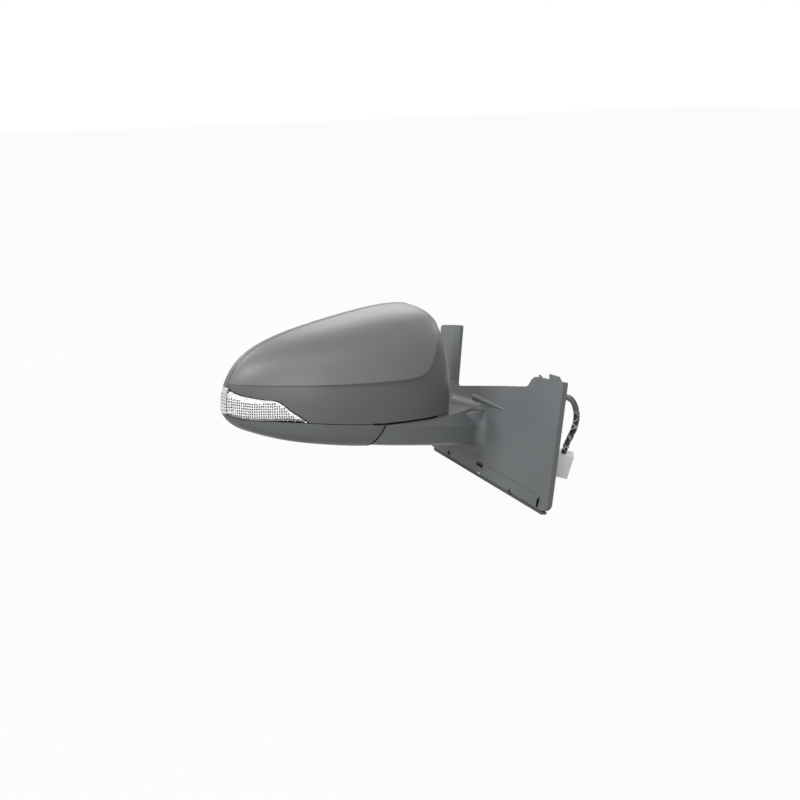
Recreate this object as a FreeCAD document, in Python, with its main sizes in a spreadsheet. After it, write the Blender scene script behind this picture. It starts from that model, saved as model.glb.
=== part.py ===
"""Powered door mirror for the right-hand side of a compact car.

Frame, in millimetres: the origin is the centre of the three-stud circle in the door seat plane,
+X points inboard to the car, +Y to the rear of the car and +Z up.  The painted cap faces forward
(-Y) and the mirror glass faces rearward (+Y).
"""
import FreeCAD
import Part
import Sketcher
import math
import os
from types import SimpleNamespace

from FreeCAD import Placement, Rotation, Vector

DIMENSIONS = (
    # head: the painted and moulded skins all come from one hull form
    ("head_inner_x", -48.0, "inner end of the head"),
    ("head_width", 249.0, "inner end to outer tip"),
    ("head_height", 146.0, "lowest to highest point of the rim outline"),
    ("head_low_z", 5.0, "lowest point of the rim outline"),
    ("head_depth", 91.0, "rim plane to the most forward point of the lower band"),
    ("rim_y", 105.0, "rear rim plane of the head"),
    ("rim_run", 12.0, "how far the hull form runs on behind the rim plane before it is cut"),
    ("cap_bulge", 3.0, "how far the cap stands proud above its crease"),
    ("skin_wall", 2.5, "wall of cap, lower cover, lens and visor"),
    ("seam_gap", 0.8, "open joint between two skins"),
    ("tuck_gap", 0.3, "clearance of a piece that lies behind a skin"),
    ("visor_band", 6.0, "width of the visor band behind cap and lower cover"),
    ("visor_tongue", 5.0, "tongue of the visor that reaches under the cap"),
    ("tongue_wall", 1.8, "wall of that tongue and of the glass pocket"),
    ("rim_wall", 2.5, "rear face of the visor"),
    ("pocket_floor_y", 74.0, "front face of the floor of the glass pocket"),
    ("pocket_floor", 1.8, "floor of the glass pocket"),
    ("pocket_gap", 4.0, "gap between glass edge and pocket"),
    # split between foot and head
    ("pivot_x", -95.0, "fold axis"),
    ("pivot_y", 52.0, "fold axis"),
    ("split_z", 37.0, "middle of the gap between foot and head"),
    ("split_gap", 0.6, "gap between foot and head"),
    ("split_radius", 63.5, "radius of the curved joint at the split plane"),
    ("split_flare", 0.38, "growth of that radius per mm below the split plane"),
    # sail and foot
    ("lean", 9.2, "lean of the door seat plane about Y"),
    ("skin_offset", 13.0, "seat plane to the outer skin of the sail"),
    ("gasket_inset", 4.0, "gasket in from the sail outline"),
    ("gasket_set_back", 6.0, "more inset along the forward side"),
    ("foot_fillet", 10.0, "concave fillet where the foot meets the sail"),
    ("aero_root", 4.2, "aero ridge radius at its high end"),
    ("aero_tip", 1.2, "aero ridge radius at its low end"),
    ("bevel_start", 6.0, "start of the fin bevel above the notch"),
    ("bevel_width", 9.0, "width of the fin bevel"),
    ("bevel_depth", 2.2, "depth of the fin bevel"),
    ("score_width", 0.9, "scored line on the sail"),
    ("score_depth", 0.6, "depth of the scored line"),
    ("gasket_width", 6.0, "door gasket"),
    ("sail_rim", 6.5, "rear edge of the sail wall, out from the seat plane"),
    ("sail_wall", 2.5, "wall of the sail and foot moulding"),
    ("foot_rear_y", 88.0, "rear side of the foot"),
    ("foot_wall", 3.0, "wall of the foot"),
    ("seal_gap", 0.5, "gap between the sail and its lower lip"),
    ("seal_height", 3.4, "belt seal below the sail"),
    ("frame_gap", 0.3, "clearance of the cast frame in the sail moulding"),
    ("frame_plate", 4.0, "plate of the cast frame"),
    ("arm_width", 40.0, "cast arm in the foot"),
    ("arm_low_z", 15.0, "underside of the cast arm"),
    ("arm_wall", 3.0, "ribs and walls of the cast arm"),
    # door studs
    ("stud_circle", 62.0, "pitch circle of the studs"),
    ("stud_count", 3.0, "number of studs"),
    ("stud_radius", 3.0, "stud shank"),
    ("stud_reach", 22.0, "stud beyond the seat plane"),
    ("stud_sink", 7.0, "stud collar inside its boss"),
    ("stud_collar", 4.2, "radius of the collar pressed into the boss"),
    ("press_gap", 0.02, "drawn gap round a pressed piece"),
    ("boss_radius", 8.0, "stud boss on the cast frame"),
    # fold pivot
    ("post_radius", 12.0, "outer radius of the post"),
    ("post_bore", 7.0, "cable passage in the post"),
    ("post_height", 46.0, "post above its flange"),
    ("flange_radius", 22.0, "post flange"),
    ("flange_depth", 3.0, "post flange"),
    ("flange_drop", 0.3, "flange top below the foot's top"),
    ("bearing_gap", 0.05, "running clearance of the hub on the post"),
    ("hub_radius", 20.0, "hub of the head frame"),
    ("hub_height", 22.0, "hub of the head frame"),
    ("turn_gap", 0.3, "axial gap between turning pieces"),
    ("spring_radius", 15.5, "middle radius of the detent spring"),
    ("spring_wire", 3.0, "wire of the detent spring"),
    ("spring_height", 18.0, "loaded length of the detent spring"),
    ("spring_turns", 4.0, "turns of the detent spring"),
    ("washer_radius", 18.0, "spring washer"),
    ("washer_depth", 2.0, "spring washer and its clip"),
    # head frame
    ("frame_y", 50.0, "front face of the head frame"),
    ("frame_depth", 4.0, "plate of the head frame"),
    ("motor_radius", 11.5, "fold motor"),
    ("motor_height", 38.0, "fold motor"),
    # glass and its adjuster
    ("glass_depth", 2.0, "mirror glass"),
    ("heater_depth", 0.4, "heater pad"),
    ("carrier_depth", 2.4, "glass carrier plate"),
    ("glass_face_y", 98.0, "rear face of the glass"),
    ("glass_centre_x", -166.0, "adjuster centre"),
    ("glass_centre_z", 88.0, "adjuster centre"),
    ("adjuster_y", 84.0, "centre of the glass joint"),
    ("case_width", 80.0, "adjuster case"),
    ("case_height", 64.0, "adjuster case"),
    ("case_corner", 22.0, "adjuster case"),
    ("turret_radius", 41.0, "round turret of the adjuster case"),
    ("turret_rise", 3.0, "turret above the pocket floor's front face"),
    ("ball_radius", 6.5, "ball of the glass joint"),
    ("neck_radius", 4.5, "neck below the ball"),
    ("ring_radius", 12.0, "gimbal ring"),
    ("ring_depth", 6.0, "gimbal ring"),
    ("joint_gap", 0.5, "clearance between ball and gimbal ring"),
    ("pin_radius", 2.0, "gimbal pins"),
    ("pin_gap", 0.05, "running clearance of the gimbal pins"),
    ("cup_gap", 1.0, "clearance between gimbal ring and carrier cup"),
    ("cup_wall", 3.0, "carrier cup"),
    ("cup_depth", 11.0, "carrier cup"),
    ("jack_arm", 26.0, "jack to glass joint"),
    ("jack_radius", 3.5, "jack rod"),
    ("jack_gap", 0.3, "clearance of a jack in its bore"),
    ("jack_tip", 4.0, "ball tip of a jack"),
    ("jack_length", 27.0, "jack from end to tip centre"),
    ("jack_lead", 5.0, "tip centre behind the glass joint"),
    ("socket_gap", 1.4, "play of the jack tip in its socket"),
    ("socket_wall", 1.6, "jack socket"),
    ("rib_depth", 2.5, "ribs on the glass carrier"),
    ("rib_wall", 1.6, "ribs on the glass carrier"),
    ("rib_reach", 50.0, "ribs on the glass carrier"),
    # screws
    ("screw_radius", 1.9, "shank"),
    ("screw_head", 4.0, "head radius"),
    ("screw_head_depth", 2.4, "head"),
    ("screw_length", 14.0, "shank below the head"),
    ("screw_boss", 5.0, "boss radius"),
    # turn lamp
    ("reflector_depth", 3.0, "reflector behind the lens"),
    ("board_depth", 1.6, "LED board"),
    # cable and plug
    ("cable_width", 6.0, "taped bundle"),
    ("grommet_radius", 8.0, "grommet flange"),
    ("grommet_depth", 9.0, "grommet"),
    ("plug_width", 22.0, "plug"),
    ("plug_depth", 14.0, "plug"),
    ("plug_length", 27.0, "plug"),
    ("plug_turn", -35.0, "turn of the hanging plug about its cable"),
    ("plug_pitch", 2.8, "pin pitch"),
    ("plug_wall", 1.4, "wall round the pins"),
)

doc = FreeCAD.newDocument("side_mirror")
sheet = doc.addObject("Spreadsheet::Sheet", "Dims")
for row, (alias, value, note) in enumerate(DIMENSIONS, 1):
    sheet.set("A%d" % row, note)
    sheet.set("B%d" % row, repr(value))
    sheet.setAlias("B%d" % row, alias)
doc.recompute()
d = SimpleNamespace(**{alias: float(sheet.get(alias)) for alias, value, note in DIMENSIONS})
nodes = {}


# ---------------------------------------------------------------- shared builders

def bind(obj, **expressions):
    """Bind properties of obj to the sheet; a double underscore stands for a dot."""
    for prop, expression in expressions.items():
        obj.setExpression(prop.replace("__", "."), expression)
    return obj


def keep(obj, label):
    """Register obj as the node called label."""
    obj.Label = label
    nodes[label] = obj
    return obj


def feature(label, shape):
    """A node whose shape is worked out here from the sheet's values."""
    obj = doc.addObject("Part::Feature", label)
    obj.Shape = shape
    return keep(obj, label)


def new_body(label):
    return keep(doc.addObject("PartDesign::Body", label), label)


def origin_plane(body, role):
    return [item for item in body.Origin.OriginFeatures if item.Role == role][0]


def new_sketch(body, name, role, lift=None):
    """A sketch on one of the body's own origin planes, lifted by an expression."""
    sketch = body.newObject("Sketcher::SketchObject", name)
    sketch.AttachmentSupport = [(origin_plane(body, role), "")]
    sketch.MapMode = "FlatFace"
    if lift:
        sketch.setExpression("AttachmentOffset.Base.z", lift)
    return sketch


def draw_profile(sketch, corners):
    """A closed polygon whose corners are pairs of expressions in sheet aliases."""
    values = [tuple(float(evaluate(part)) for part in corner) for corner in corners]
    count = len(corners)
    for index in range(count):
        start = Vector(values[index][0], values[index][1], 0)
        end = Vector(values[(index + 1) % count][0], values[(index + 1) % count][1], 0)
        sketch.addGeometry(Part.LineSegment(start, end), False)
    for index in range(count):
        following = (index + 1) % count
        sketch.addConstraint(Sketcher.Constraint("Coincident", index, 2, following, 1))
    for index, corner in enumerate(corners):
        for kind, part, value in zip(("DistanceX", "DistanceY"), corner, values[index]):
            if value == 0.0 and part == "0":
                axis = -2 if kind == "DistanceX" else -1
                sketch.addConstraint(Sketcher.Constraint("PointOnObject", index, 1, axis))
                continue
            number = sketch.addConstraint(Sketcher.Constraint(kind, -1, 1, index, 1, value))
            sketch.setExpression("Constraints[%d]" % number, bound(part))


def bound(expression):
    """Write the sheet's name in front of every alias of an expression."""
    words = []
    word = ""
    for letter in expression + " ":
        if letter.isalnum() or letter in "_.":
            word += letter
            continue
        words.append("Dims." + word if word in vars(d) else word)
        words.append(letter)
        word = ""
    return "".join(words).strip()


def evaluate(expression):
    """The value of an expression in sheet aliases."""
    return sheet.evalExpression(bound(expression))


def draw_circle(sketch, x, y, radius):
    """A circle whose centre and radius are expressions in sheet aliases."""
    centre = Vector(float(evaluate(x)), float(evaluate(y)), 0)
    number = sketch.addGeometry(Part.Circle(centre, Vector(0, 0, 1), float(evaluate(radius))), False)
    place = sketch.addConstraint(Sketcher.Constraint("Radius", number, float(evaluate(radius))))
    sketch.setExpression("Constraints[%d]" % place, bound(radius))
    for kind, part, value in (("DistanceX", x, centre.x), ("DistanceY", y, centre.y)):
        if part == "0":
            axis = -2 if kind == "DistanceX" else -1
            sketch.addConstraint(Sketcher.Constraint("PointOnObject", number, 3, axis))
            continue
        place = sketch.addConstraint(Sketcher.Constraint(kind, -1, 1, number, 3, value))
        sketch.setExpression("Constraints[%d]" % place, bound(part))


def turned(label, corners, place, rotation=None):
    """A body of revolution: corners are (radius, height) about the body's own Z axis."""
    body = new_body(label)
    sketch = new_sketch(body, label + "_profile", "XZ_Plane")
    draw_profile(sketch, corners)
    turn = body.newObject("PartDesign::Revolution", label + "_turn")
    turn.Profile = sketch
    turn.ReferenceAxis = (sketch, ["V_Axis"])
    turn.Angle = 360
    if rotation:
        body.Placement = Placement(Vector(), rotation)
    for axis, part in zip("xyz", place):
        body.setExpression("Placement.Base." + axis, bound(part))
    return body


def offset_polygon(points, distance):
    """Move every side of a closed polygon inwards (distance > 0) or outwards."""
    area = sum(p[0] * q[1] - q[0] * p[1] for p, q in zip(points, points[1:] + points[:1]))
    side = 1.0 if area > 0 else -1.0
    moved = []
    for before, point, after in zip(points[-1:] + points[:-1], points, points[1:] + points[:1]):
        first = Vector(point[0] - before[0], point[1] - before[1], 0).normalize()
        second = Vector(after[0] - point[0], after[1] - point[1], 0).normalize()
        inward = (Vector(-first.y, first.x, 0) + Vector(-second.y, second.x, 0)) * side
        inward.normalize()
        reach = distance / max(0.2, inward.dot(Vector(-second.y, second.x, 0) * side))
        moved.append((point[0] + inward.x * reach, point[1] + inward.y * reach))
    return moved


def rounded_wire(points, radii, lift):
    """A closed wire through the polygon with its corners rounded; lift maps (u, v) to space."""
    edges = []
    count = len(points)
    starts, ends, middles = [], [], []
    for index, point in enumerate(points):
        before = Vector(*points[index - 1], 0)
        corner = Vector(*point, 0)
        after = Vector(*points[(index + 1) % count], 0)
        back = (before - corner).normalize()
        ahead = (after - corner).normalize()
        half = back.getAngle(ahead) / 2
        reach = min(radii[index] / math.tan(half), 0.48 * min(before.distanceToPoint(corner),
                                                              after.distanceToPoint(corner)))
        radius = reach * math.tan(half)
        inward = (back + ahead).normalize()
        centre = corner + inward * (radius / math.sin(half))
        starts.append(corner + back * reach)
        ends.append(corner + ahead * reach)
        middles.append(centre - inward * radius)
    for index in range(count):
        arc = Part.Arc(lift(starts[index]), lift(middles[index]), lift(ends[index]))
        edges.append(arc.toShape())
        following = starts[(index + 1) % count]
        edges.append(Part.makeLine(lift(ends[index]), lift(following)))
    return Part.Wire(edges)


def slab(wire, direction):
    return Part.Face(wire).extrude(direction)


def box(low, high):
    return Part.makeBox(high[0] - low[0], high[1] - low[1], high[2] - low[2], Vector(*low))


def rod(radius, start, end):
    axis = Vector(*end) - Vector(*start)
    return Part.makeCylinder(radius, axis.Length, Vector(*start), axis)


# ---------------------------------------------------------------- the head's hull form

# Fractions of the head's width, depth and height.
PLAN_FORM = ((0, 0), (.002, .32), (.010, .58), (.030, .785), (.072, .92), (.153, .98), (.269, 1.0),
             (.410, .975), (.570, .89), (.711, .745), (.835, .53), (.940, .29), (.986, .11), (1, 0))
SIDE_FORM = ((0, 0), (.006, .45), (.022, .75), (.055, .90), (.12, .96), (.22, .99), (.36, 1.0),
             (.50, .992), (.64, .945), (.76, .865), (.87, .73), (.95, .52), (.988, .26), (1, 0))
TOP_LINE = ((0, .918), (.032, .969), (.088, .993), (.161, 1.0), (.257, .990), (.382, .962),
            (.506, .928), (.631, .887), (.751, .836), (.859, .764), (.940, .664), (.982, .555),
            (1, .459))
LOW_LINE = ((0, .014), (.209, 0), (.410, .021), (.610, .062), (.771, .110), (.892, .178),
            (.972, .260), (1, .336))
HULL_STEPS = 16


def smooth_line(points):
    """A monotone cubic through the points, as a function."""
    widths = [q[0] - p[0] for p, q in zip(points, points[1:])]
    slopes = [(q[1] - p[1]) / w for p, q, w in zip(points, points[1:], widths)]
    tangents = [slopes[0]]
    for first, second in zip(slopes, slopes[1:]):
        tangents.append(0.0 if first * second <= 0 else 2 * first * second / (first + second))
    tangents.append(slopes[-1])

    def value(x):
        index = 0
        while index < len(widths) - 1 and x > points[index + 1][0]:
            index += 1
        w = widths[index]
        t = min(1.0, max(0.0, (x - points[index][0]) / w))
        return ((1 + 2 * t) * (1 - t) ** 2 * points[index][1] + t * t * (3 - 2 * t) * points[index + 1][1]
                + w * t * (1 - t) ** 2 * tangents[index] - w * t * t * (1 - t) * tangents[index + 1])
    return value


def form_curve(points, before, after, width):
    """A smooth curve of (place, fullness), run on behind the rim plane, at even steps."""
    depth = d.head_depth + d.rim_run
    full = [(place, (d.rim_run + d.head_depth * fullness) / depth) for place, fullness in points]
    full = [(before, 0)] + full + [(after, 0)]
    curve = Part.BSplineCurve()
    curve.interpolate([Vector(place * width, fullness * depth, 0) for place, fullness in full])
    last = curve.LastParameter
    samples = [curve.value(last * step / HULL_STEPS) for step in range(HULL_STEPS + 1)]
    return [(p.x / width, max(0.0, p.y / depth)) for p in samples]


top_of = smooth_line(TOP_LINE)
low_of = smooth_line(LOW_LINE)


PATCH_FULLNESS = 0.36


def patch_cuts(surface, samples, limits):
    """Parameters that part the form into a middle and two margins at the patch fullness."""
    steps = len(samples) - 1
    low, high = limits
    inside = [step for step, sample in enumerate(samples) if sample[1] > PATCH_FULLNESS]
    first, last = inside[0] / steps, inside[-1] / steps
    return [low, low + (high - low) * first, low + (high - low) * last, high]


def hull(extra=0.0, inset=0.0):
    """The hull form, deeper by extra and with its outline drawn in by inset."""
    plan = form_curve(PLAN_FORM, -.001, 1.012, d.head_width)
    side = form_curve(SIDE_FORM, -.002, 1.005, d.head_height)
    shrink_x = 1 - 2 * inset / d.head_width
    shrink_z = 1 - 2 * inset / d.head_height
    middle_x = d.head_inner_x - d.head_width / 2
    middle_z = d.head_low_z + d.head_height / 2
    rear = d.rim_y + d.rim_run
    rows = []
    for along, forward in plan:
        low, high = low_of(along), top_of(along)
        rows.append([])
        for up, fullness in side:
            x = d.head_inner_x - along * d.head_width
            z = d.head_low_z + d.head_height * (low + (high - low) * up)
            y = rear - (d.head_depth + d.rim_run + extra) * forward * fullness
            rows[-1].append(Vector(middle_x + (x - middle_x) * shrink_x, y,
                                   middle_z + (z - middle_z) * shrink_z))
    for row in rows:
        row[0].y = row[-1].y = rear
    for point in rows[0] + rows[-1]:
        point.y = rear
    surface = Part.BSplineSurface()
    surface.interpolate(rows)
    patches = []
    plan_cuts = patch_cuts(surface, plan, surface.bounds()[0:2])
    side_cuts = patch_cuts(surface, side, surface.bounds()[2:4])
    for plan_start, plan_end in zip(plan_cuts, plan_cuts[1:]):
        for side_start, side_end in zip(side_cuts, side_cuts[1:]):
            patches.append(surface.toShape(plan_start, plan_end, side_start, side_end))
    skin = Part.makeShell(patches)
    skin.sewShape()
    border = [edge for edge in skin.Edges if edge.BoundBox.YMin > rear - 0.01]
    rim = Part.Face(Part.Wire(Part.__sortEdges__(border)))
    shell = Part.makeShell(skin.Faces + [rim])
    shell.sewShape()
    solid = Part.makeSolid(shell)
    if solid.Volume < 0:
        solid.reverse()
    return solid


def across(points, smooth=()):
    """A prism along Y over an XZ outline; runs of three or more points in smooth are curves."""
    outline = []
    for run in points:
        vectors = [Vector(x, -40, z) for x, z in run]
        if len(vectors) > 2:
            curve = Part.BSplineCurve()
            curve.interpolate(vectors)
            outline.append(curve.toShape())
        else:
            outline.append(Part.makeLine(*vectors))
    return slab(Part.Wire(outline), Vector(0, d.rim_y + 80, 0))


def head_point(along, up):
    """A point of the head's front view from fractions of its width and height."""
    return (d.head_inner_x - along * d.head_width, d.head_low_z + up * d.head_height)


def lifted(run, rise):
    return [(x, z + rise) for x, z in run]


# Lines on the head's front view.
SEAM = [head_point(*p) for p in ((-.08, .218), (.096, .236), (.181, .224), (.261, .218), (.400, .222),
                                 (.478, .232), (.651, .257), (.731, .270), (.884, .282), (.952, .291),
                                 (.992, .316), (1.06, .38))]
CREASE = [head_point(*p) for p in ((1.05, .541), (.9, .541), (.6, .541), (.269, .541), (.209, .562),
                                   (.177, .603), (.149, .664), (.104, .774), (.056, .863), (-.05, .99))]
LENS_TOP = [head_point(*p) for p in ((.731, .274), (.767, .325), (.795, .363), (.822, .409),
                                     (.843, .431), (.875, .437), (.920, .452), (.952, .466),
                                     (.974, .490), (.988, .534), (1.06, .60))]


def head_regions():
    """Prisms that part the skins in the front view, as a name space."""
    half = d.seam_gap / 2
    far_top = d.head_low_z + d.head_height + 30
    far_low = d.head_low_z - 30
    seam_low, seam_high = lifted(SEAM, -half), lifted(SEAM, half)
    left, right = SEAM[-1][0], SEAM[0][0]
    above = across([seam_high, [seam_high[-1], (left, far_top)], [(left, far_top), (right, far_top)],
                    [(right, far_top), seam_high[0]]])
    below = across([seam_low, [seam_low[-1], (left, far_low)], [(left, far_low), (right, far_low)],
                    [(right, far_low), seam_low[0]]])
    over_crease = across([CREASE, [CREASE[-1], (CREASE[-1][0], far_top)],
                          [(CREASE[-1][0], far_top), (CREASE[0][0], far_top)],
                          [(CREASE[0][0], far_top), CREASE[0]]])
    shift = [(x - half * 1.2, z - half) for x, z in LENS_TOP]
    rim_run = [shift[0]] + seam_high[-4:]
    lens_fill = across([shift, [shift[-1], rim_run[-1]], rim_run[::-1]])
    shift = [(x + half * 1.2, z + half) for x, z in LENS_TOP]
    rim_run = lifted([(shift[0][0], shift[0][1] - d.seam_gap)] + seam_high[-4:], -d.seam_gap - 1)
    lens_hole = across([shift, [shift[-1], rim_run[-1]], rim_run[::-1], [rim_run[0], shift[0]]])
    return SimpleNamespace(above=above, below=below, over_crease=over_crease,
                           lens_fill=lens_fill, lens_hole=lens_hole)


def pivot_cone(gap, rise=0.0):
    """The zone of the foot: the cone about the fold axis and all that lies inboard of the axis."""
    depth = 60.0
    top = d.split_z + gap + rise
    radius = d.split_radius + gap - d.split_flare * rise
    cone = Part.makeCone(radius + d.split_flare * depth, radius, depth,
                         Vector(d.pivot_x, d.pivot_y, top - depth), Vector(0, 0, 1))
    block = box((d.pivot_x, -60, top - depth), (60, d.rim_y + 40, top))
    return cone.fuse(block)


# Glass outline in the XZ plane with its corner radii.
GLASS_CORNERS = ((-66, 53, 16), (-66, 136.5, 16), (-118, 136, 90), (-186, 125.5, 90), (-240, 107, 26),
                 (-266, 76, 18), (-261, 52, 16), (-228, 36, 40))


def glass_wire(inset, y):
    """The glass outline, drawn in by inset, at height y along the Y axis."""
    corners = offset_polygon([(c[0] + (d.head_inner_x + 48), c[1]) for c in GLASS_CORNERS], inset)
    radii = [max(1.0, c[2] - inset) for c in GLASS_CORNERS]
    return rounded_wire(corners, radii, lambda p: Vector(p.x, y, p.y))


def build_skins():
    """Skull cap, lower cover, visor housing, turn lens, reflector and LED board."""
    half = d.seam_gap / 2
    head_box = box((-400, -60, -60), (60, d.rim_y, 260))
    outer = hull().common(head_box)
    bulged = hull(extra=d.cap_bulge).common(head_box)
    inner = hull(-d.skin_wall, d.skin_wall)
    region = head_regions()
    foot_cut = pivot_cone(d.split_gap / 2)
    foot_wall = pivot_cone(d.split_gap / 2 + d.skin_wall)
    band_y = d.rim_y - d.visor_band
    ahead = box((-400, -40, -60), (60, band_y - half, 260))
    band = box((-400, band_y + half, -60), (60, d.rim_y + 5, 260))

    skin = outer.fuse(bulged.common(region.over_crease)).cut(inner)
    cap = skin.common(ahead).common(region.above).cut(region.lens_hole).cut(foot_cut)
    feature("skull_cap", cap.removeSplitter())

    tuck = d.skin_wall + d.tuck_gap
    nest = hull(-tuck, tuck)
    well = nest.fuse(outer.common(region.below)).common(ahead).common(foot_wall.cut(foot_cut))
    well = well.common(box((-400, -40, -60), (60, d.pocket_floor_y - d.tuck_gap, d.split_z + 4)))
    lower = outer.cut(inner).common(ahead).common(region.below)
    lower = lower.fuse(well).cut(foot_cut)
    hub_hole = rod(d.flange_radius + 2, (d.pivot_x, d.pivot_y, 0), (d.pivot_x, d.pivot_y, 60))
    feature("lower_cover", lower.cut(hub_hole).removeSplitter())

    lens = outer.cut(inner).common(ahead).common(region.lens_fill)
    feature("turn_lens", lens.removeSplitter())
    back = d.skin_wall + d.tuck_gap + d.reflector_depth
    reflector = nest.cut(hull(-back, back)).common(ahead).common(region.lens_fill)
    feature("turn_reflector", reflector.removeSplitter())
    back += d.tuck_gap
    board = hull(-back, back).cut(hull(-back - d.board_depth, back + d.board_depth))
    low_x, low_z = head_point(.862, .298)
    high_x, high_z = head_point(.785, .375)
    board = board.common(box((low_x, -40, low_z), (high_x, d.pocket_floor_y - 1, high_z)))
    feature("turn_board", board.removeSplitter())

    rim = outer.common(band).cut(inner)
    core = hull(-tuck - d.tongue_wall, tuck + d.tongue_wall)
    lip = nest.cut(core).common(box((-400, band_y - d.visor_tongue, -60), (60, band_y + 2, 260)))
    lip = lip.cut(region.lens_hole)
    joint = outer.cut(core).common(box((-400, band_y + half, -60), (60, band_y + 3, 260)))
    face = outer.common(box((-400, d.rim_y - d.rim_wall, -60), (60, d.rim_y + 5, 260)))
    pocket = slab(glass_wire(-d.pocket_gap, d.pocket_floor_y + d.pocket_floor),
                  Vector(0, d.rim_y - d.pocket_floor_y, 0))
    tray = slab(glass_wire(-d.pocket_gap - d.tongue_wall, d.pocket_floor_y),
                Vector(0, d.rim_y - d.pocket_floor_y, 0))
    clear = d.skin_wall + d.tuck_gap + d.reflector_depth + d.tuck_gap
    tray = tray.common(hull(-clear, clear).fuse(outer.common(band)))
    sill = foot_wall.cut(foot_cut).common(outer.common(band).fuse(nest))
    sill = sill.common(box((-400, d.pocket_floor_y, -60), (60, d.rim_y, d.split_z + 4)))
    visor = rim.fuse([lip, joint, face, tray, sill]).cut(pocket).cut(foot_cut)
    visor = visor.cut(rod(d.turret_radius + 1, (d.glass_centre_x, 0, d.glass_centre_z),
                          (d.glass_centre_x, d.rim_y, d.glass_centre_z)))
    for x, z in SCREW_PLACES:
        visor = visor.cut(rod(d.screw_radius + 0.2, (x, 60, z), (x, 90, z)))
    feature("visor_housing", visor.removeSplitter())


SCREW_PLACES = ((-127, 116), (-222, 92), (-224, 56))


def build_glass():
    """Mirror glass, heater pad and carrier plate with its cup, ribs and jack sockets."""
    face = d.glass_face_y
    glass_front = face - d.glass_depth
    feature("mirror_glass", slab(glass_wire(0, glass_front), Vector(0, d.glass_depth, 0)))
    pad_front = glass_front - d.heater_depth
    feature("heater_pad", slab(glass_wire(3, pad_front), Vector(0, d.heater_depth, 0)))
    front = pad_front - d.carrier_depth
    plate = slab(glass_wire(0.6, front), Vector(0, d.carrier_depth, 0))
    cx, cz = d.glass_centre_x, d.glass_centre_z
    inside = d.ring_radius + d.cup_gap
    cup = rod(inside + d.cup_wall, (cx, front - d.cup_depth, cz), (cx, front, cz))
    pieces = [cup]
    for dx, dz in ((0, d.jack_arm), (d.jack_arm, 0)):
        pieces.append(rod(d.jack_tip + d.socket_gap + d.socket_wall,
                          (cx + dx, d.adjuster_y + d.jack_lead - 2, cz + dz), (cx + dx, front, cz + dz)))
    for turn in range(0, 360, 30):
        rib = box((inside, front - d.rib_depth, -d.rib_wall / 2), (d.rib_reach, front, d.rib_wall / 2))
        rib.rotate(Vector(), Vector(0, 1, 0), turn)
        rib.translate(Vector(cx, 0, cz))
        pieces.append(rib)
    outline = slab(glass_wire(0.6, front - 40), Vector(0, 60, 0))
    carrier = plate.fuse(pieces).common(outline)
    carrier = carrier.cut(rod(inside, (cx, front - d.cup_depth - 1, cz), (cx, front, cz)))
    for dx, dz in ((0, d.jack_arm), (d.jack_arm, 0)):
        carrier = carrier.cut(rod(d.jack_tip + d.socket_gap, (cx + dx, 70, cz + dz),
                                  (cx + dx, front, cz + dz)))
    carrier = carrier.cut(rod(d.pin_radius + d.pin_gap, (cx, d.adjuster_y, cz - 30),
                              (cx, d.adjuster_y, cz + 30)).common(
        rod(inside + d.cup_wall + 1, (cx, 60, cz), (cx, 100, cz))))
    feature("glass_carrier", carrier.removeSplitter())

    ring = rod(d.ring_radius, (cx, d.adjuster_y - d.ring_depth / 2, cz),
               (cx, d.adjuster_y + d.ring_depth / 2, cz))
    reach = inside + d.cup_wall
    pins = rod(d.pin_radius, (cx, d.adjuster_y, cz - reach), (cx, d.adjuster_y, cz + reach))
    ring = ring.fuse(pins).cut(rod(d.ball_radius + d.joint_gap, (cx, 60, cz), (cx, 110, cz)))
    ring = ring.cut(rod(d.pin_radius + d.pin_gap, (cx - 30, d.adjuster_y, cz), (cx + 30, d.adjuster_y, cz)))
    feature("gimbal_ring", ring.removeSplitter())


def build_adjuster():
    """Adjuster case with turret, ball and cross pins, and the two jacks."""
    cx, cz = d.glass_centre_x, d.glass_centre_z
    back = d.frame_y + d.frame_depth
    step = d.pocket_floor_y - 0.4
    half_w, half_h = d.case_width / 2, d.case_height / 2
    corners = [(cx - half_w, cz - half_h), (cx + half_w, cz - half_h), (cx + half_w, cz + half_h),
               (cx - half_w, cz + half_h)]
    wire = rounded_wire(corners, [d.case_corner] * 4, lambda p: Vector(p.x, back, p.y))
    case = slab(wire, Vector(0, step - back, 0))
    top = d.pocket_floor_y + d.turret_rise
    case = case.fuse(rod(d.turret_radius, (cx, step - 5, cz), (cx, top, cz)))
    for dx, dz in ((0, d.jack_arm), (d.jack_arm, 0)):
        case = case.cut(rod(d.jack_radius + d.jack_gap, (cx + dx, back + 3, cz + dz), (cx + dx, 99, cz + dz)))
    ball = Part.makeSphere(d.ball_radius, Vector(cx, d.adjuster_y, cz))
    neck = rod(d.neck_radius, (cx, top - 1, cz), (cx, d.adjuster_y, cz))
    reach = d.ring_radius - 0.2
    pins = rod(d.pin_radius, (cx - reach, d.adjuster_y, cz), (cx + reach, d.adjuster_y, cz))
    feature("adjuster_case", case.fuse([ball, neck, pins]).removeSplitter())
    for label, dx, dz in (("tilt_jack", 0, d.jack_arm), ("pan_jack", d.jack_arm, 0)):
        tip_y = d.adjuster_y + d.jack_lead
        jack = rod(d.jack_radius, (cx + dx, tip_y - d.jack_length, cz + dz), (cx + dx, tip_y, cz + dz))
        jack = jack.fuse(Part.makeSphere(d.jack_tip, Vector(cx + dx, tip_y, cz + dz)))
        feature(label, jack.removeSplitter())


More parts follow.
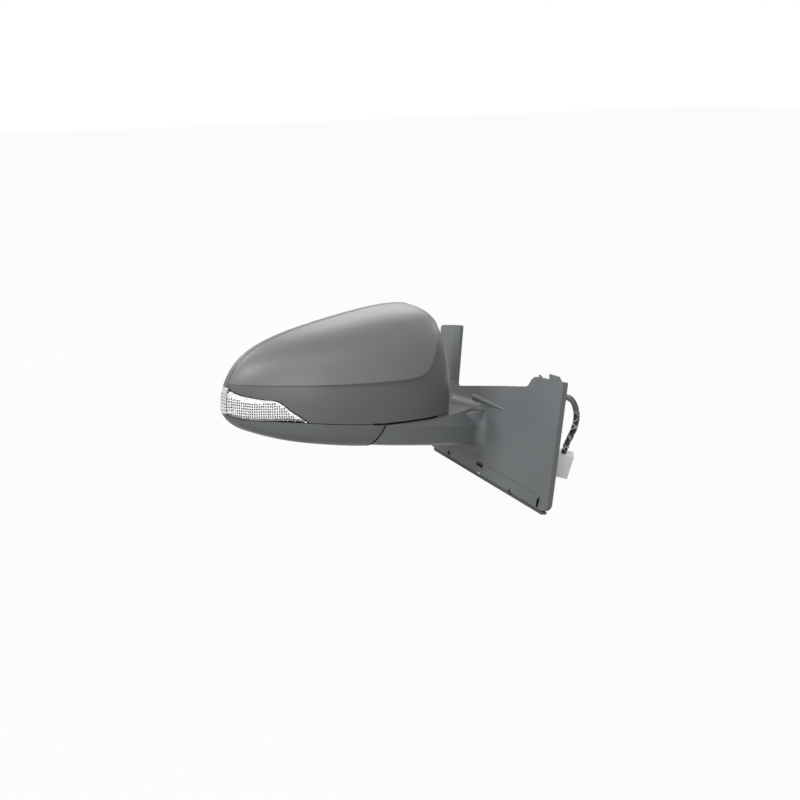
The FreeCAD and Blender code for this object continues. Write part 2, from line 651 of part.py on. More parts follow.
def build_head_frame():
    """Moulded frame: hub on the post, plate behind the adjuster, screw bosses and motor shelf."""
    low = d.split_z - d.split_gap / 2 - d.flange_drop + d.turn_gap
    hub = rod(d.hub_radius, (d.pivot_x, d.pivot_y, low), (d.pivot_x, d.pivot_y, low + d.hub_height))
    corners = [(-119, 44), (-119, 125), (-160, 123), (-186, 117), (-213, 102), (-232, 80), (-232, 52), (-222, 44)]
    wire = rounded_wire(corners, [8, 10, 30, 30, 30, 14, 10, 6], lambda p: Vector(p.x, d.frame_y, p.y))
    plate = slab(wire, Vector(0, d.frame_depth, 0))
    bridge = box((-128, d.frame_y - 6, low + 4), (d.pivot_x, d.frame_y + d.frame_depth, low + d.hub_height))
    shelf = box((-141, 25, low + d.hub_height - 4), (-114, d.frame_y + 1, low + d.hub_height))
    pieces = [hub, bridge, shelf]
    for x, z in SCREW_PLACES:
        pieces.append(rod(d.screw_boss, (x, d.frame_y + 1, z), (x, d.pocket_floor_y, z)))
    for x, top in ((-145, 118), (-175, 112), (-205, 98)):
        pieces.append(box((x - 1, d.frame_y - 6, 52), (x + 1, d.frame_y + 1, top)))
    frame = plate.fuse(pieces)
    for x, z in SCREW_PLACES:
        frame = frame.cut(rod(d.screw_radius + 0.1, (x, d.frame_y - 1, z), (x, 99, z)))
    frame = frame.cut(rod(d.post_radius + d.bearing_gap, (d.pivot_x, d.pivot_y, 0), (d.pivot_x, d.pivot_y, 120)))
    feature("head_frame", frame.removeSplitter())
    motor = rod(d.motor_radius, (-128, 36.5, low + d.hub_height), (-128, 36.5, low + d.hub_height + d.motor_height))
    motor = motor.fuse(rod(d.motor_radius - 4, (-128, 36.5, low + d.hub_height + d.motor_height),
                           (-128, 36.5, low + d.hub_height + d.motor_height + 4)))
    feature("fold_motor", motor.removeSplitter())
    for number, (x, z) in enumerate(SCREW_PLACES, 1):
        turned("visor_screw_%d" % number, (
            ("0", "0"), ("screw_radius", "0"), ("screw_radius", "screw_length"), ("screw_head", "screw_length"),
            ("screw_head", "screw_length + screw_head_depth * 0.6"),
            ("screw_head * 0.5", "screw_length + screw_head_depth"), ("0", "screw_length + screw_head_depth")),
            ("%.3f" % x, "pocket_floor_y + pocket_floor - screw_length", "%.3f" % z),
            Rotation(Vector(1, 0, 0), -90))


# ---------------------------------------------------------------- base: sail, foot and pivot

SAIL_CORNERS = ((120.9, -22.4, 3), (-95.5, -57.3, 9), (-93.3, 82.3, 1.5), (-46, 81.4, 2.5), (-40.5, 78, 4),
                (-35.3, 69.2, 6), (12, 62.6, 60), (93.5, 50.4, 4), (99.4, 118.1, 2), (132.8, 113.8, 4),
                (126, 50, 90))
FOOT_STATIONS = (
    # x, then (y, z) of: top rear, bottom rear, bottom front, front low edge, crease, top front;
    # the top stands above the plane of the fold joint, which cuts it flat
    (-168, (88, 41), (88, 20), (42, 14.5), (26, 18), (19.5, 36.0), (26.0, 41)),
    (-140, (88, 41), (88, 13.5), (33, 11.2), (19.5, 15), (15.5, 35.2), (19.0, 41)),
    (-110, (88, 41), (88, 9.5), (29, 8.0), (17.5, 12), (14.2, 32.0), (17.1, 41)),
    (-76, (88, 41), (88, 6), (30, 3.8), (18.5, 8), (15.3, 27.4), (21.4, 41)),
    (-46, (88, 41), (88, 3), (34, -0.5), (23.5, 4), (21.0, 22.8), (30.8, 41)),
    (-26, (88, 41), (88, 1), (39, -3.5), (30.0, 0.5), (28.0, 19.4), (40.3, 41)),
    (4, (90, 41), (90, -1.5), (45, -7.5), (37.0, -3.5), (35.5, 14.5), (46.2, 41)),
)
FOOT_RADII = (4, 8, 6, 5, 2.0, 2.5)


def leaned(shape):
    """Turn a shape from the seat plane's own axes into the part's frame."""
    turned_shape = shape.copy()
    turned_shape.rotate(Vector(), Vector(0, 1, 0), d.lean)
    return turned_shape


def sail_slab(inset, near, far):
    """A slab over the sail outline between two offsets from the seat plane, already leaned."""
    corners = offset_polygon([c[:2] for c in SAIL_CORNERS], inset)
    radii = [max(0.8, c[2] - inset) for c in SAIL_CORNERS]
    wire = rounded_wire(corners, radii, lambda p: Vector(-near, p.x, p.y))
    return leaned(slab(wire, Vector(near - far, 0, 0)))


def foot_solid(inset):
    """The foot drawn in by inset; its hollow leaves out the crease."""
    wires = []
    used = [0, 1, 2, 3, 5] if inset else range(len(FOOT_RADII))
    for station in FOOT_STATIONS:
        corners = offset_polygon([station[1:][index] for index in used], inset)
        radii = [max(1.0, FOOT_RADII[index] - inset) for index in used]
        wires.append(rounded_wire(corners, radii, lambda p, x=station[0]: Vector(x, p.x, p.y)))
    return Part.makeLoft(wires, True, bool(inset))


def gasket_slab(inset, near, far):
    """A slab over the sail outline without its fin, its forward side set back."""
    front = min(corner[0] for corner in SAIL_CORNERS) + 5
    kept = SAIL_CORNERS[:7] + SAIL_CORNERS[10:]
    outline = [(c[0] + (d.gasket_set_back if c[0] < front else 0), c[1]) for c in kept]
    radii = [max(1.0, max(d.gasket_width + d.gasket_inset + 1, c[2]) - inset) for c in kept]
    wire = rounded_wire(offset_polygon(outline, inset), radii, lambda p: Vector(-near, p.x, p.y))
    return leaned(slab(wire, Vector(near - far, 0, 0)))


def root_edges(solid):
    """Edges where the foot meets the outer face of the sail."""
    found = []
    for edge in solid.Edges:
        ends = [vertex.Point for vertex in edge.Vertexes] + [edge.valueAt(sum(edge.ParameterRange) / 2)]
        spots = [unleaned(point) for point in ends]
        on_skin = all(abs(spot.x + d.skin_offset) < 0.01 for spot in spots)
        near_foot = all(FOOT_ZONE[0] < spot.y < FOOT_ZONE[1] and FOOT_ZONE[2] < spot.z < FOOT_ZONE[3]
                        for spot in spots)
        if on_skin and near_foot:
            found.append(edge)
    return found


def unleaned(point):
    """A point of the part's frame in the seat plane's own axes."""
    return Rotation(Vector(0, 1, 0), -d.lean).multVec(point)


def aero_fin():
    """The slim tapered ridge on the face of the sail."""
    start, end = [Vector(-d.skin_offset + 0.5, *place) for place in AERO_ENDS]
    ridge = Part.makeCone(d.aero_root, d.aero_tip, start.distanceToPoint(end), start, end - start)
    ridge = ridge.common(box((-d.skin_offset - 20, -200, -200), (-d.skin_offset + 1, 200, 200)))
    return leaned(ridge)


def fin_bevel():
    """The wide bevel along the forward edge of the rear fin."""
    low, high = SAIL_CORNERS[7][:2], SAIL_CORNERS[8][:2]
    along = Vector(0, high[0] - low[0], high[1] - low[1]).normalize()
    start = Vector(-d.skin_offset, *low) + along * d.bevel_start
    inward = Vector(0, along.z, -along.y)
    corners = [start - inward, start + inward * d.bevel_width,
               start - inward + Vector(d.bevel_depth, 0, 0)]
    corners = [corner - Vector(0.01, 0, 0) for corner in corners[:2]] + corners[2:]
    wedge = Part.Face(Part.makePolygon(corners + corners[:1])).extrude(along * 90)
    return leaned(wedge)


def sail_slots():
    """Clip slots through the face of the sail and the scored line above its lower edge."""
    cuts = []
    for start, end, width in SLOTS:
        first = Vector(-d.skin_offset - 1, *start)
        run = Vector(0, end[0] - start[0], end[1] - start[1])
        side = Vector(0, -run.z, run.y).normalize() * (width / 2)
        corners = [first - side, first + run - side, first + run + side, first + side]
        cuts.append(leaned(slab(Part.makePolygon(corners + corners[:1]), Vector(d.sail_wall + 1.5, 0, 0))))
    start, end = [Vector(-d.skin_offset - 1, *place) for place in SCORE_ENDS]
    side = Vector(0, start.z - end.z, end.y - start.y).normalize() * (d.score_width / 2)
    corners = [start - side, end - side, end + side, start + side]
    cuts.append(leaned(slab(Part.makePolygon(corners + corners[:1]), Vector(1 + d.score_depth, 0, 0))))
    return cuts


# Places on the face of the sail, (y, z) in the seat plane's own axes.
AERO_ENDS = ((54.0, 44.5), (-4.2, 38.2))
SLOTS = (((33.0, -24.8), (22.4, -26.6), 1.8), ((-80.0, -41.5), (-78.0, -50.5), 2.2),
         ((-27.6, -42.2), (-31.5, -45.6), 1.4), ((88.0, -21.6), (84.5, -24.0), 1.4))
SCORE_ENDS = ((17.0, -26.2), (-74.0, -39.6))
FOOT_ZONE = (5, 105, -30, 45)


def build_base():
    """Base moulding, cast frame, studs, gasket, belt seal and grommet."""
    top = d.split_z - d.split_gap / 2
    swept = pivot_cone(-d.split_gap / 2).common(box((-300, -60, -60), (60, 200, top)))
    inner_swept = pivot_cone(-d.split_gap / 2 - d.foot_wall, rise=10)
    behind_sail = leaned(box((-d.skin_offset + d.sail_wall - 1.0, -200, -200), (60, 200, 300)))
    foot = foot_solid(0).common(swept).cut(behind_sail)
    sail = sail_slab(0, d.skin_offset, d.sail_rim)
    sail_hollow = sail_slab(d.sail_wall, d.skin_offset - d.sail_wall, d.sail_rim - 1)
    foot_hollow = foot_solid(d.foot_wall).common(inner_swept)
    foot_hollow = foot_hollow.common(box((-158, -60, -60), (60, 200, top - d.foot_wall)))
    outside = sail.fuse(foot).removeSplitter()
    outside = outside.makeFillet(d.foot_fillet, root_edges(outside)).fuse(aero_fin())
    moulding = outside.cut(sail_hollow).cut(foot_hollow).cut(fin_bevel())
    for slot in sail_slots():
        moulding = moulding.cut(slot)
    flange_hole = rod(d.flange_radius + 0.5, (d.pivot_x, d.pivot_y, top - 8), (d.pivot_x, d.pivot_y, 60))
    half_arm = d.arm_width / 2 + d.frame_gap
    arm_pass = box((d.pivot_x + d.flange_radius, d.pivot_y - half_arm, d.arm_low_z - d.frame_gap),
                   (0, d.pivot_y + half_arm, top - d.flange_drop - d.flange_depth + d.frame_gap))
    moulding = moulding.cut(flange_hole).cut(arm_pass.cut(sail_slab(0, d.sail_rim, -60)))
    feature("base_shell", moulding.removeSplitter())

    plate_far = d.skin_offset - d.sail_wall - d.frame_gap
    plate_near = plate_far - d.frame_plate
    plate = sail_slab(d.sail_wall + d.frame_gap, plate_far, plate_near)
    arm_top = top - d.flange_drop - d.flange_depth
    arm = box((d.pivot_x, d.pivot_y - d.arm_width / 2, d.arm_low_z), (-2, d.pivot_y + d.arm_width / 2, arm_top))
    arm = arm.cut(leaned(box((-plate_near, -200, -200), (60, 200, 200))))
    pad = rod(d.flange_radius, (d.pivot_x, d.pivot_y, d.arm_low_z), (d.pivot_x, d.pivot_y, arm_top))
    window = box((d.pivot_x + d.flange_radius + 4, d.pivot_y - d.arm_width / 2 + d.arm_wall, d.arm_low_z - 5),
                 (-28, d.pivot_y - d.arm_wall / 2, arm_top - d.arm_wall))
    window_two = window.copy()
    window_two.translate(Vector(0, d.arm_width / 2 - d.arm_wall / 2, 0))
    frame = plate.fuse([arm, pad]).cut(window).cut(window_two)
    for place in stud_places():
        boss = rod(d.boss_radius, (-plate_near, *place), (0, *place))
        hole = rod(d.stud_collar, (-d.stud_sink, *place), (1, *place))
        frame = frame.fuse(leaned(boss)).cut(leaned(hole))
    passage = rod(d.post_bore, (d.pivot_x, d.pivot_y, d.arm_low_z - 1), (d.pivot_x, d.pivot_y, 60))
    cable_hole = leaned(rod(GROMMET_NECK, (-12, *GROMMET_PLACE), (-4, *GROMMET_PLACE)))
    feature("base_frame", frame.cut(passage).cut(cable_hole).removeSplitter())

    outer = gasket_slab(d.gasket_inset, plate_near - d.frame_gap, 0)
    inner = gasket_slab(d.gasket_inset + d.gasket_width, plate_near + 1, -1)
    feature("door_gasket", outer.cut(inner))


GROMMET_PLACE = (-30.0, 50.0)
GROMMET_NECK = 5.0


def stud_places():
    """Stud centres (y, z) in the seat plane's own axes."""
    count = int(round(d.stud_count))
    turns = [math.radians(90 + 360.0 * number / count) for number in range(count)]
    return [(d.stud_circle / 2 * math.cos(turn), d.stud_circle / 2 * math.sin(turn)) for turn in turns]


def build_pivot():
    """Post, washer, detent spring and clip on the fold axis."""
    seat = "split_z - split_gap / 2 - flange_drop - flange_depth"
    place = ("pivot_x", "pivot_y", seat)
    top = "flange_depth + post_height"
    turned("pivot_post", (
        ("post_bore", "0"), ("flange_radius", "0"), ("flange_radius", "flange_depth"),
        ("post_radius", "flange_depth"), ("post_radius", top), ("post_bore", top)), place)
    rest = "flange_depth + turn_gap + hub_height + turn_gap"
    upper = rest + " + spring_height"
    turned("spring_clip", (
        ("post_radius + bearing_gap", upper), ("washer_radius", upper),
        ("washer_radius", upper + " + washer_depth"),
        ("post_radius + bearing_gap", upper + " + washer_depth")), place)
    seat_z = float(evaluate(seat))
    low = seat_z + float(evaluate(rest)) + d.spring_wire / 2
    rise = d.spring_height - d.spring_wire
    helix = Part.makeHelix(rise / d.spring_turns, rise, d.spring_radius)
    half_in, half_up = d.spring_wire * 0.4, d.spring_wire / 2
    corners = [Vector(d.spring_radius + side, 0, rise_by) for side, rise_by in (
        (-half_in, -half_up), (half_in, -half_up), (half_in, half_up), (-half_in, half_up))]
    ring = Part.makePolygon(corners + corners[:1])
    coil = Part.Wire(helix.Edges).makePipeShell([ring], True, True)
    coil.translate(Vector(d.pivot_x, d.pivot_y, low))
    feature("detent_spring", coil)


def build_mounting():
    """Studs, belt seal, grommet, trim clips."""
    lean = Rotation(Vector(0, 1, 0), d.lean)
    for number, (y, z) in enumerate(stud_places(), 1):
        foot = lean.multVec(Vector(-d.stud_sink, y, z))
        turned("door_stud_%d" % number, (
            ("0", "0"), ("stud_collar - press_gap", "0"), ("stud_collar - press_gap", "stud_sink"),
            ("stud_radius - press_gap", "stud_sink"), ("stud_radius - press_gap", "stud_sink + stud_reach - 1"),
            ("stud_radius - 1", "stud_sink + stud_reach"), ("0", "stud_sink + stud_reach")),
            ["%.9f" % part for part in foot], lean.multiply(Rotation(Vector(0, 1, 0), 90)))

    rear, front = SAIL_CORNERS[0][:2], SAIL_CORNERS[1][:2]
    slope = (front[1] - rear[1]) / (front[0] - rear[0])
    strip = [(rear[0] - 4, rear[1] - d.seal_gap - 4 * slope), (front[0] + 7, front[1] - d.seal_gap + 7 * slope)]
    strip += [(strip[1][0] + 1.5, strip[1][1] - d.seal_height), (strip[0][0] - 1.5, strip[0][1] - d.seal_height)]
    wire = rounded_wire(strip, [0.8, 0.8, 1.5, 1.5], lambda p: Vector(-d.skin_offset + 0.8, p.x, p.y))
    feature("belt_seal", leaned(slab(wire, Vector(d.skin_offset - 0.8 - d.sail_rim, 0, 0))))

    y, z = GROMMET_PLACE
    plate_near = d.skin_offset - d.sail_wall - d.frame_gap - d.frame_plate
    grommet = rod(GROMMET_NECK - 0.05, (-plate_near - d.frame_plate, y, z), (-plate_near, y, z))
    grommet = grommet.fuse(rod(d.grommet_radius, (-plate_near, y, z), (-plate_near + 3, y, z)))
    grommet = grommet.fuse(rod(d.cable_width / 2 + 1.5, (-plate_near, y, z), (GROMMET_FACE, y, z)))
    feature("cable_grommet", leaned(grommet).removeSplitter())

    front_top, rear_top = SAIL_CORNERS[2][:2], SAIL_CORNERS[3][:2]
    fall = (rear_top[1] - front_top[1]) / (rear_top[0] - front_top[0])
    for number, (low_y, high_y, rise) in enumerate(TRIM_CLIPS, 1):
        low_z, high_z = [front_top[1] + fall * (y - front_top[0]) + 0.02 for y in (low_y, high_y)]
        corners = [(low_y, low_z), (high_y, high_z), (high_y + 1.5, high_z + rise),
                   (low_y + 5, low_z + rise - 1.0)]
        wire = rounded_wire(corners, [0.5, 0.5, 1.0, 1.5], lambda p: Vector(-d.skin_offset + 3.0, p.x, p.y))
        feature("trim_clip_%d" % number, leaned(slab(wire, Vector(2.0, 0, 0))))


GROMMET_FACE = 3.0
TRIM_CLIPS = ((-85, -66, 5.5), (-54, -48.5, 3.0))

# Route of the free cable: from the grommet's face round to the plug.
CABLE_ROUTE = ((11.0, -30.0, 48.87), (21.86, -30.0, 47.11), (31.5, -33.5, 50.0), (37.6, -41.0, 54.5),
               (40.0, -51.0, 57.3), (39.7, -61.2, 54.8), (38.6, -68.2, 47.5), (37.5, -71.0, 37.5),
               (36.4, -69.0, 27.0), (35.4, -64.0, 17.0), (34.6, -58.0, 7.5), (34.2, -54.0, -3.0))


def cord_path(points):
    """Straight runs joined by tangent arcs, and the radii of the arcs."""
    corners = [Vector(*p) for p in points]
    runs = [(q - p).Length for p, q in zip(corners, corners[1:])]
    edges, radii = [], []
    last = corners[0]
    for index in range(1, len(corners) - 1):
        back = (corners[index - 1] - corners[index]).normalize()
        ahead = (corners[index + 1] - corners[index]).normalize()
        half_turn = (math.pi - back.getAngle(ahead)) / 2
        reach = 0.49 * min(runs[index - 1], runs[index])
        radius = reach / math.tan(half_turn)
        inward = (back + ahead).normalize()
        middle = corners[index] + inward * (radius / math.cos(half_turn) - radius)
        start = corners[index] + back * reach
        end = corners[index] + ahead * reach
        edges.append(Part.LineSegment(last, start).toShape())
        edges.append(Part.Arc(start, middle, end).toShape())
        last = end
        radii.append(radius)
    edges.append(Part.LineSegment(last, corners[-1]).toShape())
    return Part.Wire(edges), radii


def build_cable():
    """The free cable, its plug and the plug's pins."""
    path, radii = cord_path(CABLE_ROUTE)
    first = Vector(*CABLE_ROUTE[1]) - Vector(*CABLE_ROUTE[0])
    section = Part.Wire([Part.makeCircle(d.cable_width / 2, Vector(*CABLE_ROUTE[0]), first)])
    tube = path.makePipeShell([section], True, False)
    print("cable length %.1f, radii %s" % (path.Length, ["%.1f" % r for r in radii]))
    print("tube volume over section times length: %.4f"
          % (tube.Volume / (math.pi * d.cable_width ** 2 / 4 * path.Length)))
    feature("door_cable", tube)

    end = Vector(*CABLE_ROUTE[-1])
    run = (end - Vector(*CABLE_ROUTE[-2])).normalize()
    half_w, half_d = d.plug_width / 2, d.plug_depth / 2
    outline = [(-half_w, -half_d), (half_w, -half_d), (half_w, half_d), (-half_w, half_d)]
    wire = rounded_wire(outline, [1.5] * 4, lambda p: Vector(p.x, p.y, 0))
    housing = slab(wire, Vector(0, 0, -d.plug_length))
    step = box((-half_w + 3, -half_d + 3, -0.5), (half_w - 3, half_d - 3, 0))
    latch = box((-4, half_d - 0.5, -d.plug_length + 4), (4, half_d + 2.2, -8))
    mouth_wire = rounded_wire(offset_polygon(outline, d.plug_wall), [0.8] * 4, lambda p: Vector(p.x, p.y, 0))
    mouth = slab(mouth_wire, Vector(0, 0, -8.0))
    mouth.translate(Vector(0, 0, -d.plug_length + 8.0))
    housing = housing.fuse([step, latch]).cut(mouth)
    pins = []
    for column in (-3, -2, -1, 1, 2, 3):
        for row in (-1, 1):
            if (column, row) == (-3, 1):
                continue
            x, y = column * d.plug_pitch, row * d.plug_pitch
            pins.append(box((x - 0.5, y - 0.5, -d.plug_length + 1.5), (x + 0.5, y + 0.5, -d.plug_length + 8.0)))
    spot = Placement(end, Rotation(Vector(0, 0, -1), run).multiply(Rotation(Vector(0, 0, 1), d.plug_turn)))
    block = box((-3 * d.plug_pitch - 1.2, -d.plug_pitch - 1.2, -d.plug_length + 7.0),
                (3 * d.plug_pitch + 1.2, d.plug_pitch + 1.2, -d.plug_length + 8.0))
    for label, shape in (("plug_housing", housing.cut(block)), ("plug_pins", block.fuse(pins))):
        placed = shape.removeSplitter()
        placed.Placement = spot
        feature(label, placed)


def check_and_export():
    """Refuse a failed object, then write one file for each node."""
    doc.recompute()
    for obj in doc.Objects:
        if "Invalid" in obj.State or "Error" in obj.State:
            raise RuntimeError("failed object: " + obj.Name)
    os.makedirs("parts", exist_ok=True)
    for label, obj in nodes.items():
        shape = obj.Shape
        if shape.isNull() or not shape.isValid() or not shape.Solids:
            raise RuntimeError("bad shape: " + label)
        shape.exportStep("parts/%s.step" % label)


build_skins()
build_glass()
build_adjuster()
build_head_frame()
build_base()
build_pivot()
build_mounting()
build_cable()
check_and_export()
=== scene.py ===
"""Looks for the powered car door mirror: camera, light, materials, cable and small details."""
import math

import bmesh
import bpy
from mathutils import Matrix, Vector
from mathutils.bvhtree import BVHTree


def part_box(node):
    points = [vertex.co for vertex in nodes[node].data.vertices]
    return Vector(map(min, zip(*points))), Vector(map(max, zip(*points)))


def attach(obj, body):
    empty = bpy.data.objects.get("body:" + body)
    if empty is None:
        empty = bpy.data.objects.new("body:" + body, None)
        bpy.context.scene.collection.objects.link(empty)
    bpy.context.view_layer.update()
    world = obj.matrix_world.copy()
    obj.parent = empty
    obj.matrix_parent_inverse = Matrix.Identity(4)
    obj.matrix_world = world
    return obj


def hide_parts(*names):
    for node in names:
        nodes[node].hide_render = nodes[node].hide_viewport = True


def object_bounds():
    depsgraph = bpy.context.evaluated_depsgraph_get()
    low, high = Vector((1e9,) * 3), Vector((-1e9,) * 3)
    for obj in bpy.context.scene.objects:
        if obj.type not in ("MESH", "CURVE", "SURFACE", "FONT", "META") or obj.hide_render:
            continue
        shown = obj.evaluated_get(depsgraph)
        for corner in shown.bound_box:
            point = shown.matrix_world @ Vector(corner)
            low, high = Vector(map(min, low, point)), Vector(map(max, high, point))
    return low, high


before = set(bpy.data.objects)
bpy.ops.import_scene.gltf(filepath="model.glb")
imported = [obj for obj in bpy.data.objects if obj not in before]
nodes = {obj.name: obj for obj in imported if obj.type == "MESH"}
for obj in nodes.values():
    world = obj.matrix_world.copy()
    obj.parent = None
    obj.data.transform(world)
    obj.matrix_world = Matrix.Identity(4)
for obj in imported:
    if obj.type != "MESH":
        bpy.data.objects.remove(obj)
CAD_BOX = [list(map(float, corner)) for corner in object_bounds()]


# ---------------------------------------------------------------- small helpers
def srgb(*levels):
    """Turns 0-255 screen levels into linear colour."""
    linear = []
    for level in levels:
        part = level / 255
        linear.append(part / 12.92 if part <= 0.04045 else ((part + 0.055) / 1.055) ** 2.4)
    return (*linear, 1.0)


NOISE_LOW, NOISE_HIGH = 0.3, 0.7   # nearly all of a noise lies between these


class Nodes:
    """A short way to write a node tree."""

    def __init__(self, name):
        self.material = bpy.data.materials.new(name)
        self.material.use_nodes = True
        self.tree = self.material.node_tree
        self.tree.nodes.clear()
        self.out = self.tree.nodes.new("ShaderNodeOutputMaterial")

    def add(self, kind, settings=None, **sockets):
        """A shader node, its settings, and its sockets with _ for each space in their names."""
        node = self.tree.nodes.new("ShaderNode" + kind)
        for key, value in (settings or {}).items():
            setattr(node, key, value)
        for key, value in sockets.items():
            self.put(node, key.replace("_", " "), value)
        return node

    def put(self, node, key, value):
        """Links a socket to a node's input, or sets the input to a constant."""
        socket = node.inputs[key]
        if isinstance(value, bpy.types.NodeSocket):
            self.tree.links.new(value, socket)
        else:
            socket.default_value = value

    def surface(self, shader):
        self.tree.links.new(shader, self.out.inputs["Surface"])
        return self.material

    def noise(self, scale, detail=4.0, roughness=0.6, stretch=(1, 1, 1)):
        place = self.add("TexCoord")
        mapping = self.add("Mapping", Vector=place.outputs["Object"], Scale=stretch)
        texture = self.add("TexNoise", Vector=mapping.outputs["Vector"], Scale=scale, Detail=detail,
                           Roughness=roughness)
        return texture.outputs["Fac"]

    def ramp(self, factor, stops):
        node = self.add("ValToRGB", Fac=factor)
        ramp = node.color_ramp
        while len(ramp.elements) < len(stops):
            ramp.elements.new(0.5)
        for element, (place, colour) in zip(ramp.elements, stops):
            element.position = place
            element.color = colour
        return node.outputs["Color"]

    def blend(self, factor, low, high):
        """From one colour to the other over the spread of a noise."""
        return self.ramp(factor, [(NOISE_LOW, low), (NOISE_HIGH, high)])

    def grey(self, factor, low, high, start=NOISE_LOW, end=NOISE_HIGH):
        """From one number to the other while the factor goes from start to end."""
        node = self.add("MapRange", Value=factor, From_Min=start, From_Max=end, To_Min=low, To_Max=high)
        return node.outputs["Result"]

    def bump(self, height, distance, strength=1.0, normal=None):
        node = self.add("Bump", Height=height, Distance=distance, Strength=strength)
        if normal is not None:
            self.put(node, "Normal", normal)
        return node.outputs["Normal"]

    def principled(self, **sockets):
        return self.add("BsdfPrincipled", **sockets).outputs["BSDF"]


def tone(colour, factor):
    return tuple(min(1, part * factor) for part in colour[:3]) + (1.0,)


def grained_plastic(name, colour, roughness=0.55, grain=0.00005, pitch=1500, shine=0.5):
    """Moulded plastic with a spark-eroded grain and slightly uneven gloss."""
    m = Nodes(name)
    cloud = m.noise(14, 3)
    shade = m.blend(cloud, tone(colour, 0.95), tone(colour, 1.05))
    fine = m.noise(pitch, 2, 0.5)
    wear = m.noise(45, 4)
    return m.surface(m.principled(
        Base_Color=shade,
        Roughness=m.grey(wear, roughness - 0.04, roughness + 0.05),
        Specular_IOR_Level=shine,
        Normal=m.bump(fine, grain),
    ))


def brushed_metal(name, colour, roughness, stretch=(1, 1, 1), pitch=900, grain=0.00002):
    """Bare metal with fine lines, or with a cast grain where the pitch is coarse."""
    m = Nodes(name)
    lines = m.noise(pitch, 3, 0.6, stretch)
    patch = m.noise(60, 4)
    return m.surface(m.principled(
        Base_Color=m.blend(patch, tone(colour, 0.85), tone(colour, 1.08)),
        Metallic=1.0,
        Roughness=m.grey(lines, roughness - 0.08, roughness + 0.1),
        Normal=m.bump(lines, grain),
    ))


# ---------------------------------------------------------------- materials
BASE_GREY = srgb(111, 114, 116)
COVER_GREY = srgb(100, 103, 105)
VISOR_GREY = srgb(104, 106, 108)
CAP_GREY = srgb(112, 114, 115)
# painted shade: the darker grey of the band below the cap's crease stands in for the shade on its
# downward-turned skin
BAND_SHADE_GREY = srgb(92, 94, 95)

base_plastic = grained_plastic("base_plastic", BASE_GREY)
cover_plastic = grained_plastic("cover_plastic", COVER_GREY, 0.5)
visor_plastic = grained_plastic("visor_plastic", VISOR_GREY, 0.5)
black_plastic = grained_plastic("black_plastic", srgb(52, 53, 55), 0.45)
white_nylon = grained_plastic("white_nylon", srgb(250, 250, 250), 0.4, 0.00002, 700)
ledge_plastic = grained_plastic("ledge_plastic", srgb(122, 124, 126), 0.35, 0.00001)
guide_plastic = grained_plastic("guide_plastic", srgb(246, 247, 248), 0.2, 0.00001)
belt_rubber = grained_plastic("belt_rubber", srgb(78, 80, 82), 0.65, 0.00004, 900)
# painted shade: near-black strips stand in for the shadow deep in the seams and slots
gap_shade_black = grained_plastic("gap_shade_black", srgb(10, 10, 11), 0.8, 0.00002, 900, 0.05)
sleeve_plastic = grained_plastic("sleeve_plastic", srgb(104, 106, 108), 0.45, 0.00003, 700)
wire_black = grained_plastic("wire_black", srgb(22, 22, 24), 0.35, 0.00001, 700)
wire_pale = grained_plastic("wire_pale", srgb(198, 199, 202), 0.35, 0.00001, 700)
seal_rubber = grained_plastic("seal_rubber", srgb(46, 47, 49), 0.75, 0.00004, 900)
steel = brushed_metal("steel", srgb(176, 178, 182), 0.32)
cast_alloy = brushed_metal("cast_alloy", srgb(160, 162, 165), 0.5, pitch=420, grain=0.00012)
motor_can = brushed_metal("motor_can", srgb(188, 190, 193), 0.28, (1, 1, 14))
pin_brass = brushed_metal("pin_brass", srgb(206, 190, 140), 0.3)


HEAD_INNER_X, HEAD_WIDTH = -0.048, 0.249
HEAD_LOW_Z, HEAD_HEIGHT = 0.005, 0.146
# The cap's crease: fraction of the head's width, outwards, and of its height.
CREASE = ((-0.05, .99), (.056, .863), (.104, .774), (.149, .664), (.177, .603), (.209, .562),
          (.269, .541), (.6, .541), (1.05, .541))
CREASE_RUN = 0.1       # how far the crease is followed past each end of the head, as a fraction
CREASE_EDGE = 0.0005
MIX_FACTOR, MIX_FIRST, MIX_SECOND, MIX_COLOUR = 0, 6, 7, 2   # sockets of a colour Mix node


def above_crease(m):
    """1 over the cap's bulge, 0 on the band below its crease, where painted shade darkens the colour."""
    split = m.add("SeparateXYZ", Vector=m.add("TexCoord").outputs["Object"])
    along = m.grey(split.outputs["X"], 0.0, 1.0, HEAD_INNER_X + CREASE_RUN * HEAD_WIDTH,
                   HEAD_INNER_X - (1 + CREASE_RUN) * HEAD_WIDTH)
    stops = [((place + CREASE_RUN) / (1 + 2 * CREASE_RUN), (up, up, up, 1)) for place, up in CREASE]
    line = m.grey(m.ramp(along, stops), HEAD_LOW_Z, HEAD_LOW_Z + HEAD_HEIGHT, 0, 1)
    over = m.add("Math", {"operation": "SUBTRACT"})
    m.put(over, 0, split.outputs["Z"])
    m.put(over, 1, line)
    return m.grey(over.outputs[0], 0, 1, -CREASE_EDGE, CREASE_EDGE)


def primer_and_band_shade_material():
    """Primed skin: a lighter bulge above the crease, and below it a band darkened with painted shade where
    the skin turns downward.
    """
    m = Nodes("cap_primer")
    cloud = m.noise(9, 3)
    peel = m.noise(330, 2, 0.4)
    dust = m.noise(2200, 2)
    bulge = m.blend(cloud, tone(CAP_GREY, 0.97), tone(CAP_GREY, 1.03))
    # painted shade on the band below the crease
    band = m.blend(cloud, tone(BAND_SHADE_GREY, 0.97), tone(BAND_SHADE_GREY, 1.03))
    mix = m.add("Mix", {"data_type": "RGBA"})
    m.put(mix, MIX_FACTOR, above_crease(m))
    m.put(mix, MIX_FIRST, band)
    m.put(mix, MIX_SECOND, bulge)
    return m.surface(m.principled(
        Base_Color=mix.outputs[MIX_COLOUR],
        Roughness=m.grey(dust, 0.4, 0.5),
        Coat_Weight=0.12,
        Coat_Roughness=0.35,
        Normal=m.bump(peel, 0.00003, 0.6),
    ))


